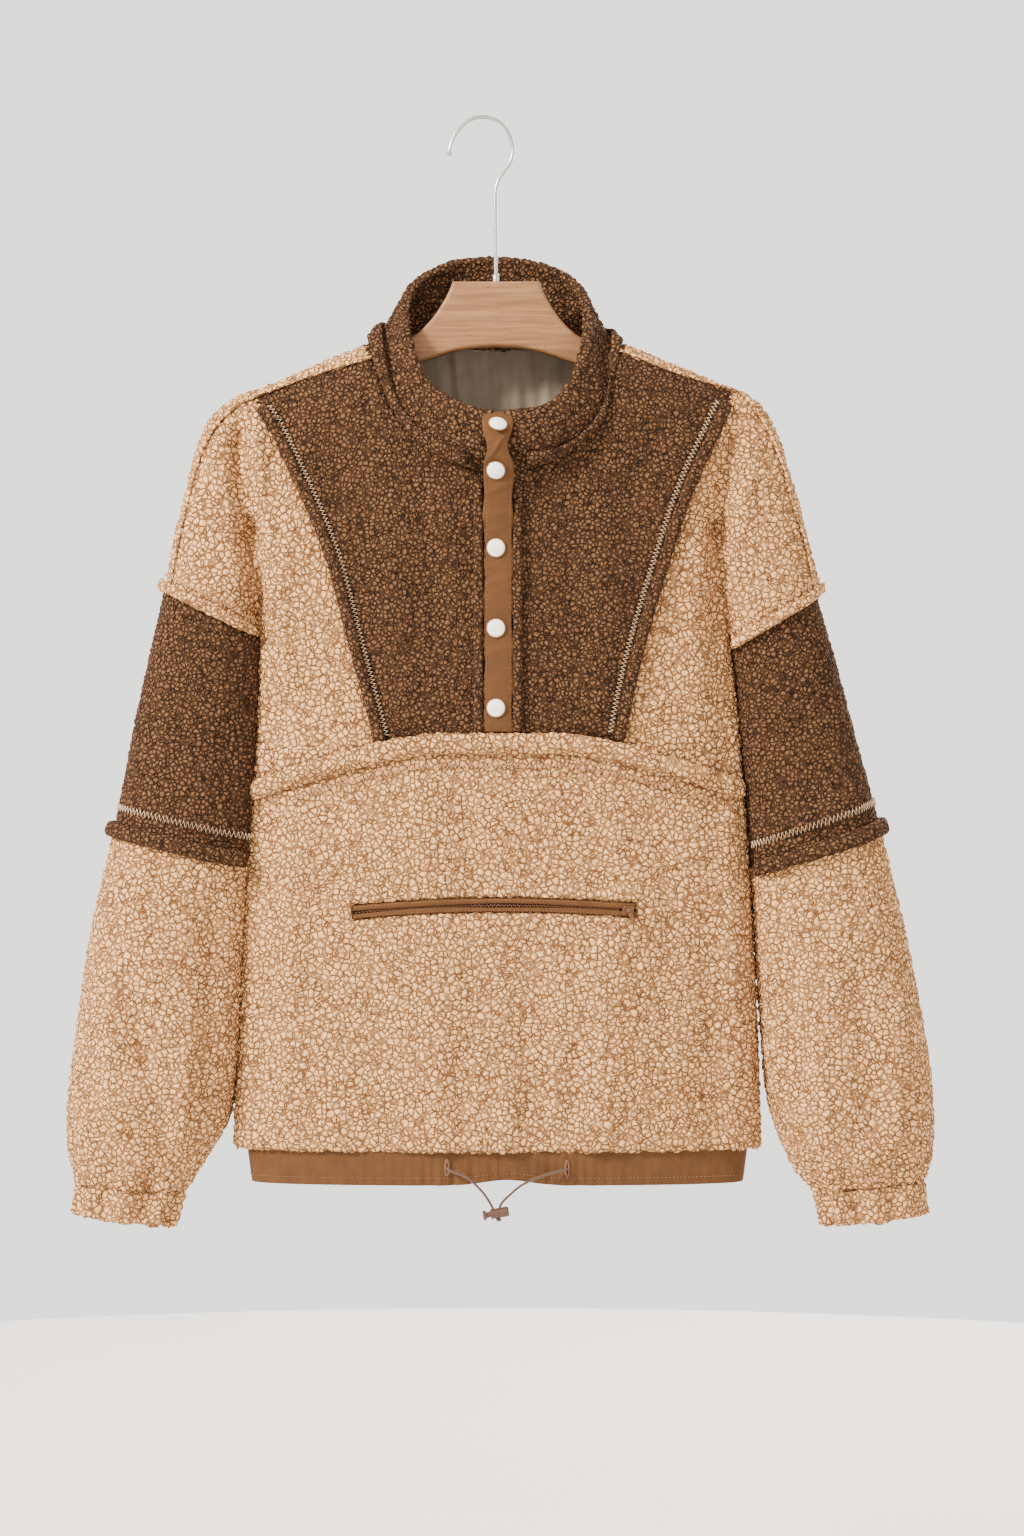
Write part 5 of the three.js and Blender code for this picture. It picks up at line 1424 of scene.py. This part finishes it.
knotLine = knotCentre + knotSize * np.stack([
    np.sin(knotTurn) + 2 * np.sin(2 * knotTurn), np.cos(knotTurn) - 2 * np.cos(2 * knotTurn),
    -np.sin(3 * knotTurn)], axis=1) * np.array([0.8, 0.8, 1.0])
cordKnot = tube("cordEndKnot", knotLine, 0.8, 8, braid, ["cord_knot"])
cords = {}
for side, route in cordRoutes.items():
    line = resampled(route, 1.2)
    piece = tube(f"drawCord{side.capitalize()}", line, 1.0, 12, braid, [f"cord_{side}"])
    cords[side] = (piece, line)

# Buttonholes: a ring of close satin stitches round each slit that a cord comes out of.
holes = {"height": 6.4, "width": 1.3, "thread": 0.85}
for side, x, z in (("Left", -38.4, -834.4), ("Right", 56.2, -835.3)):
    turn = np.linspace(0, 2 * math.pi, 90)
    wobble = 0.16 * np.sin(turn * 44)
    xs = x + (holes["width"] + wobble) * np.cos(turn)
    zs = z + (holes["height"] + wobble) * np.sin(turn)
    share = (band["top"] - zs) / (band["top"] - band["bottom"])
    turnAt = np.arcsin(np.clip((xs - band["middle"]) / 200, -1, 1))
    depth = bandPoint(np.sign(turnAt) * np.abs(np.sin(turnAt)) ** (bodySquare / 2), share)[:, 1]
    line = np.stack([xs, depth - 0.35, zs], axis=1)
    tube(f"buttonhole{side}", line, holes["thread"] + wobble * 0.4, 6, brownThread)

# Pocket: two woven welts in the groove, the zip's tape behind them and its teeth.
pocketCloth = {
    "pocketWeltUpper": {"low": 1.3, "high": 5.8, "under": -3.2, "over": -0.2, "wave": 0.5,
                        "finish": brownWoven, "node": "pocket_welt_upper"},
    "pocketWeltLower": {"low": -4.8, "high": -0.9, "under": -3.2, "over": -0.2, "wave": -0.5,
                        "finish": brownWoven, "node": "pocket_welt_lower"},
    "zipTape": {"low": -4.6, "high": 5.6, "under": -4.8, "over": -3.6, "wave": 0.0,
                "finish": zipCloth, "node": "zip_tape"}}
for name, strip in pocketCloth.items():
    low, high, wave = strip["low"], strip["high"], strip["wave"]
    s = np.linspace(pocket["left"] + 0.8, pocket["right"] - 0.8, 130)
    u = np.concatenate([np.linspace(-1, 1, 8), np.linspace(1, -1, 4)])
    back = np.concatenate([np.zeros(8), np.ones(4)])
    ss, uu = np.meshgrid(s, u, indexing="ij")
    up = (low + high) / 2 + (high - low) / 2 * uu
    up = up + wave * np.sin(ss * 0.045 + 1.2) * np.clip(-uu if wave > 0 else uu, 0, 1)
    top = strip["over"] - 0.9 * np.abs(uu) ** 3 + 0.15 * np.sin(ss * 0.4)
    lift = np.where(back > 0, strip["under"], top)
    points = lifted(ss, pocketZ(ss) + up, lift)
    skinPiece(name, points, strip["finish"], [strip["node"]], None, np.stack([ss, up], axis=-1))

# Zip teeth: small blocks of one shape, set side by side in two rows.
toothX = np.arange(pocket["left"] + 3, 98, 1.5)
toothCorner = np.array([(x, y, z) for x in (-0.45, 0.45) for y in (-0.5, 0.5) for z in (-0.9, 0.9)])
row = np.arange(len(toothX)) % 2 * 1.0 - 0.5
spot = lifted(toothX, pocketZ(toothX) + row * 0.8 + 0.1, -2.2)
points = (spot[:, None] + toothCorner[None]).reshape(-1, 3)
sideQuads = np.array([(0, 1, 3, 2), (4, 6, 7, 5), (0, 4, 5, 1), (2, 3, 7, 6), (0, 2, 6, 4), (1, 5, 7, 3)])
quads = (np.arange(len(toothX))[:, None, None] * 8 + sideQuads[None]).reshape(-1, 4)
makePiece("zipTeeth", points, outwards(points, [quads]), bronze)


# Sewing: a zigzag thread for stretch seams, and separate short stitches for straight ones.
print("sewing")
zigzag = {"pitch": 3.2, "wide": 1.9, "thread": 0.42, "lift": 1.5}
running = {"stitch": 2.3, "gap": 0.9, "thread": 0.28,
           "along": (0.0, 0.15, 0.5, 0.85, 1.0), "rise": (-0.5, 0.05, 0.25, 0.05, -0.5)}


# The thread goes from side to side of the line, half a pitch a step.
def zigzagSeam(name, spot, length, finish):
    count = int(length / zigzag["pitch"] * 2)
    s = np.linspace(0, 1, count)
    across = zigzag["wide"] * np.where(np.arange(count) % 2 > 0, 1, -1)
    return tube(name, spot(s, across, np.full(count, zigzag["lift"])), zigzag["thread"], 5, finish)


# Each stitch is five rings of five points: it comes out of the cloth, runs along it and goes in.
def runningSeam(name, spot, length, lift=0.2):
    pitch = running["stitch"] + running["gap"]
    count = int(length / pitch)
    starts = np.arange(count) * pitch / length
    s = starts[:, None] + np.array(running["along"]) * running["stitch"] / length
    rise = lift + np.array(running["rise"]) * np.ones(s.shape)
    middle = spot(s.ravel(), np.zeros(s.size), rise.ravel()).reshape(count, 5, 3)
    run = unit(middle[:, -1:] - middle[:, :1]) * np.ones(middle.shape)
    side = unit(np.cross(run, np.array([0.0, 1.0, 0.0])))
    other = np.cross(run, side)
    turn = np.linspace(0, 2 * math.pi, 5, endpoint=False)[None, None, :, None]
    ring = np.cos(turn) * side[:, :, None] + np.sin(turn) * other[:, :, None]
    points = middle[:, :, None] + running["thread"] * ring
    one = tubeFaces(5, 5)
    starts = np.arange(count)[:, None, None] * 25
    faces = [(starts + part[None]).reshape(-1, part.shape[1]) for part in (np.asarray(f) for f in one)]
    return makePiece(name, points, outwards(points.reshape(-1, 3), faces), brownThread)


for name, line in sewing.items():
    line = line[3:-3] if name != "archUnder" else line
    zigzagSeam(f"stitch{name[0].upper()}{name[1:]}", onFront(line), lengthOf(line),
               creamThread if name == "archUnder" else tanThread)
sleeveStitches = {
    "Band": {"row": bandSeam - 0.24, "finish": tanThread},
    "Drop": {"row": dropSeam - 0.2, "finish": creamThread}}
for side in ("left", "right"):
    for seam, at in sleeveStitches.items():
        turn = np.linspace(1.2, -2 * math.pi + 1.9, 600)
        ring = sleevePoint(side, turn, np.full(turn.shape, at["row"]))
        turn = evenly(ring, turn, len(turn))

        def spot(s, across, up, side=side, row=at["row"], turn=turn):
            return sleeveCloth(side, np.interp(s, np.linspace(0, 1, len(turn)), turn), row - across / 62, up)

        zigzagSeam(f"stitch{seam}{side.capitalize()}", spot, lengthOf(ring), at["finish"])
placketSeam = {"top": -296.0, "bottom": -490.0}
for side, edge in (("Left", -0.8), ("Right", 0.8)):
    def spot(s, across, up, edge=edge):
        z = mix(placketSeam["top"], placketSeam["bottom"], s)
        left, right, y = placketAt(z)
        x = (left + right) / 2 + (right - left) / 2 * edge
        return np.stack([x, y + 0.5 * edge ** 2 - placket["thick"] - up, z], axis=-1)

    runningSeam(f"stitchPlacket{side}", spot, placketSeam["top"] - placketSeam["bottom"])


# Hem stitches go round the casing, near its lower edge.
def bandSpot(s, across, up):
    return bandPoint(np.interp(s, np.linspace(0, 1, len(turns)), turns), 0.86 + across * 0, -up)


bandTall = band["top"] - band["bottom"]
runningSeam("stitchHem", bandSpot, measured["hemCasing"] / bandTall * 1e6, 0.15)
pocketSeam = {"short": 2, "under": 0.7, "length": 220.0}
for name, up in (("Upper", 4.4), ("Lower", -3.6)):
    def spot(s, across, lift, up=up):
        x = mix(pocket["left"] + pocketSeam["short"], pocket["right"] - pocketSeam["short"], s)
        return lifted(x, pocketZ(x) + up, lift - pocketSeam["under"])

    runningSeam(f"stitchPocket{name}", spot, pocketSeam["length"])

# Thin raised seam where front meets back over each shoulder, down to the drop seam.
shoulderWelt = {"radius": 1.3, "lift": 1.0}
for side in ("left", "right"):
    line = resampled(shoulderSeam[side], 2.0)[20:-2]
    points = lifted(line[:, 0], line[:, 1], shoulderWelt["lift"])
    tube(f"shoulderWelt{side.capitalize()}", points, shoulderWelt["radius"], 8, creamSherpa, (), 0.8)


# Lining: a thin slippery cloth inside the back of the neck, gathered a little under the hanger.
print("lining, hanger and hook")
lining = {"x": 76.0, "top": -181.5, "bottom": -320.0, "inset": 6.4, "thick": 1.2, "rows": 66, "columns": 91}
z, x = np.meshgrid(np.linspace(lining["top"], lining["bottom"], lining["rows"]),
                   np.linspace(-lining["x"], lining["x"], lining["columns"]), indexing="ij")
drop = (lining["top"] - z) / (lining["top"] - lining["bottom"])
gather = 1.5 * np.sin(x * 0.28 + 1.5 * np.sin(x * 0.06 + z * 0.02)) * (1 - 0.5 * drop)
gather = (gather + 0.7 * np.sin(x * 0.53 + z * 0.05)) * (1.7 - drop)
nearDepth = bodyDepth(x, z, False, lining["inset"] + lining["thick"]) - 0.6 + gather * 0.5
near = np.stack([x, nearDepth, z], axis=-1)
far = np.stack([x, bodyDepth(x, z, False, lining["inset"]) - 0.3, z], axis=-1)
points = np.concatenate([near, far[:, ::-1]], axis=1)
uv = np.concatenate([np.stack([x, z], axis=-1), np.stack([x, z], axis=-1)[:, ::-1]], axis=1)
skinPiece("neckLining", points, taupeLining, ["lining"], None, uv)

# Hanger board: its outline carried through its thickness, with round edges.
board = {"half": 6.0, "round": 3.2, "steps": 7}
boardHalf = np.array([
    (0, -130.5), (34.5, -130.5), (37.5, -138), (41.5, -145.7), (51.1, -160), (64, -172.5), (85, -183),
    (110, -192), (150, -209.5), (180, -223.5), (193, -231), (196, -238), (191, -243), (180, -241.5),
    (150, -229), (100, -209), (53, -192.5), (27, -184.8), (0, -182.4)])
corner = resampled(boardHalf[:2], 2.5)
shoulder = resampled(boardHalf[1:11], 2.5)
tip = resampled(boardHalf[10:14], 1.5)
under = resampled(boardHalf[13:], 3.0)
rightSide = np.concatenate([corner[:-1], shoulder[:-1], tip[:-1], under])
outline = np.concatenate([rightSide, (rightSide * (-1, 1))[1:-1][::-1]])
step = np.roll(outline, -1, axis=0) - np.roll(outline, 1, axis=0)
inwards = unit(np.stack([step[:, 1], -step[:, 0]], axis=1))
bend = np.linspace(0, math.pi / 2, board["steps"])
inset = board["round"] * (1 - np.sin(bend))
depth = board["half"] - board["round"] + board["round"] * np.cos(bend)
insets = np.concatenate([inset, inset[::-1]])
depths = np.concatenate([-depth, depth[::-1]])
rings = outline[None] + inwards[None] * insets[:, None, None]
points = np.stack([rings[..., 0], np.repeat(depths[:, None], len(outline), axis=1), rings[..., 1]], axis=-1)
skinPiece("hangerWood", points, wood, ["hanger_board"])

wire = [(-37.4, -26), (-35.2, -18), (-32, -11.4), (-27.2, -5.7), (-22, -1.4), (-16.4, 1), (-11, 1.6),
        (-5, 0.9), (2.6, -2.4), (9, -9), (12.6, -17), (13.6, -25), (12, -33), (7.2, -41), (2.4, -48),
        (0.2, -55), (-0.4, -64), (-0.2, -97), (0, -131)]
wireLine = resampled([(x, 0, z) for x, z in wire], 1.0)
ballLine = np.array([(-37.4, 0, -26 - 1)]) + np.outer(np.linspace(-2.55, 2.55, 15), (0.2, 0, 1)) * (1, 0, 1)
tube("hookWire", wireLine, 1.6, 16, steel, ["hanger_hook"])
tube("hookBall", ballLine, np.sqrt(np.maximum(2.6 ** 2 - np.linspace(-2.55, 2.55, 15) ** 2, 0.05)), 16, steel)
ferrule = np.array([(0, 0, -124.0), (0, 0, -126.0), (0, 0, -129.6), (0, 0, -130.4)])
tube("hookFerrule", ferrule, [2.2, 2.6, 2.6, 3.4], 20, steel)

smallParts = {"zip_slider": bronze, "pull_tab": bronze, "lock_barrel": plastic, "lock_plunger": plastic}
for name, finish in smallParts.items():
    frame["nodes"][name].data.materials.clear()
    frame["nodes"][name].data.materials.append(finish.material)

# Each cord's length, end pieces and points in the frame are worked out here and not kept.
for side, (piece, line) in cords.items():
    length = lengthOf(line) * metre
    ends = [frame["nodes"]["lock_barrel"]]
    if side == "left":
        ends += [frame["nodes"]["lock_plunger"], cordKnot]
    tuple(place(line[0]))
    [tuple(p) for p in place(line)]
# What each piece of cloth was cut to, in metres and square metres, what holds it and what is sewn to
# it. A star stands for Left and Right, and such a piece has two cuts.
cuts = {
    "yoke*": {"flat": [(0.170, 0.290), (0.170, 0.290)], "area": [0.0358, 0.0357], "on": "hangerWood",
              "with": ["yokeTape*", "stitchYoke*", "placketTape*", "shoulderWelt*"]},
    "side*": {"flat": [(0.170, 0.360), (0.170, 0.360)], "area": [0.0312, 0.0297], "on": "yoke*", "with": []},
    "lowerFront": {"flat": [(0.420, 0.360)], "area": [0.1367], "on": "sideLeft",
                   "with": ["archTape", "stitchArchUnder", "pocketWeltUpper", "pocketWeltLower", "zipTape",
                            "zipTeeth", "stitchPocketUpper", "stitchPocketLower"]},
    "backPanel": {"flat": [(0.540, 0.700)], "area": [0.302], "on": "hangerWood", "with": []},
    "sleeveBand*": {"flat": [(0.350, 0.190), (0.350, 0.190)], "area": [0.0506, 0.0503], "on": "backPanel",
                    "with": ["dropTape*", "stitchDrop*"]},
    "sleeveLower*": {"flat": [(0.370, 0.310), (0.380, 0.310)], "area": [0.0921, 0.095], "on": "sleeveBand*",
                     "with": ["bandTape*", "stitchBand*"]},
    "cuff*": {"flat": [(0.210, 0.040), (0.220, 0.040)], "area": [0.0071, 0.0076], "on": "sleeveLower*",
              "with": []},
    "foldedCollar": {"flat": [(0.460, 0.086)], "area": [0.0375], "on": "backPanel", "with": ["collarTape"]},
    "hemCasing": {"flat": [(0.860, 0.037)], "area": [0.0305], "on": "lowerFront",
                  "with": ["stitchHem", "buttonholeLeft", "buttonholeRight"]},
    "placketStrip": {"flat": [(0.023, 0.262)], "area": [0.006], "on": "yokeLeft",
                     "with": ["stitchPlacketLeft", "stitchPlacketRight", "snapCap1", "snapCap2", "snapCap3",
                              "snapCap4", "snapCap5"]},
    "neckLining": {"flat": [(0.156, 0.141)], "area": [0.0219], "on": "backPanel", "with": []},
}
for name, cut in cuts.items():
    for side, flat, area in zip(("Left", "Right"), cut["flat"], cut["area"]):
        piece, *sewn = (bpy.data.objects[each.replace("*", side)] for each in [name] + cut["with"])
print("measured areas", json.dumps(measured))

# Studio: a pale floor well below, soft light from the upper left, a weaker fill and a light behind.
print("studio")
floorTurn = np.linspace(0, 2 * math.pi, 128, endpoint=False)
floorMesh = bpy.data.meshes.new("floor")
floorCorners = np.stack([2.4 * np.cos(floorTurn), 2.4 * np.sin(floorTurn), np.full(128, -1.35)], axis=1)
floorMesh.from_pydata(floorCorners.tolist(), [], [tuple(range(128))])
floor = bpy.data.objects.new("floor", floorMesh)
bpy.context.scene.collection.objects.link(floor)
paper = Finish("paleFloor", Roughness=0.9)
paper.use("Base Color", paper.mix(paper.noise(300, 2.0), linear((226, 222, 216)), linear((232, 229, 224))))
floorMesh.materials.append(paper.material)

lights = {
    "key": {"spot": (-2.5, -1.7, 1.3), "size": 0.6, "power": 330, "colour": (1.0, 0.97, 0.93)},
    "fill": {"spot": (2.2, -2.4, -0.2), "size": 2.2, "power": 14, "colour": (0.97, 0.98, 1.0)},
    "behind": {"spot": (1.2, 2.6, 0.9), "size": 1.6, "power": 150, "colour": (1.0, 0.98, 0.95)}}
target = np.array([0.02, 0.0, -0.5])
for name, lamp in lights.items():
    data = bpy.data.lights.new(name, "AREA")
    data.size = lamp["size"]
    data.energy = lamp["power"]
    data.color = lamp["colour"]
    light = bpy.data.objects.new(name, data)
    light.location = lamp["spot"]
    aim = Vector(target - np.array(lamp["spot"]))
    light.rotation_euler = aim.to_track_quat("-Z", "Y").to_euler()
    bpy.context.scene.collection.objects.link(light)
world = bpy.data.worlds.new("paleStudio")
world.use_nodes = True
world.node_tree.nodes["Background"].inputs["Color"].default_value = linear((240, 238, 235))
world.node_tree.nodes["Background"].inputs["Strength"].default_value = 2.3
bpy.context.scene.world = world
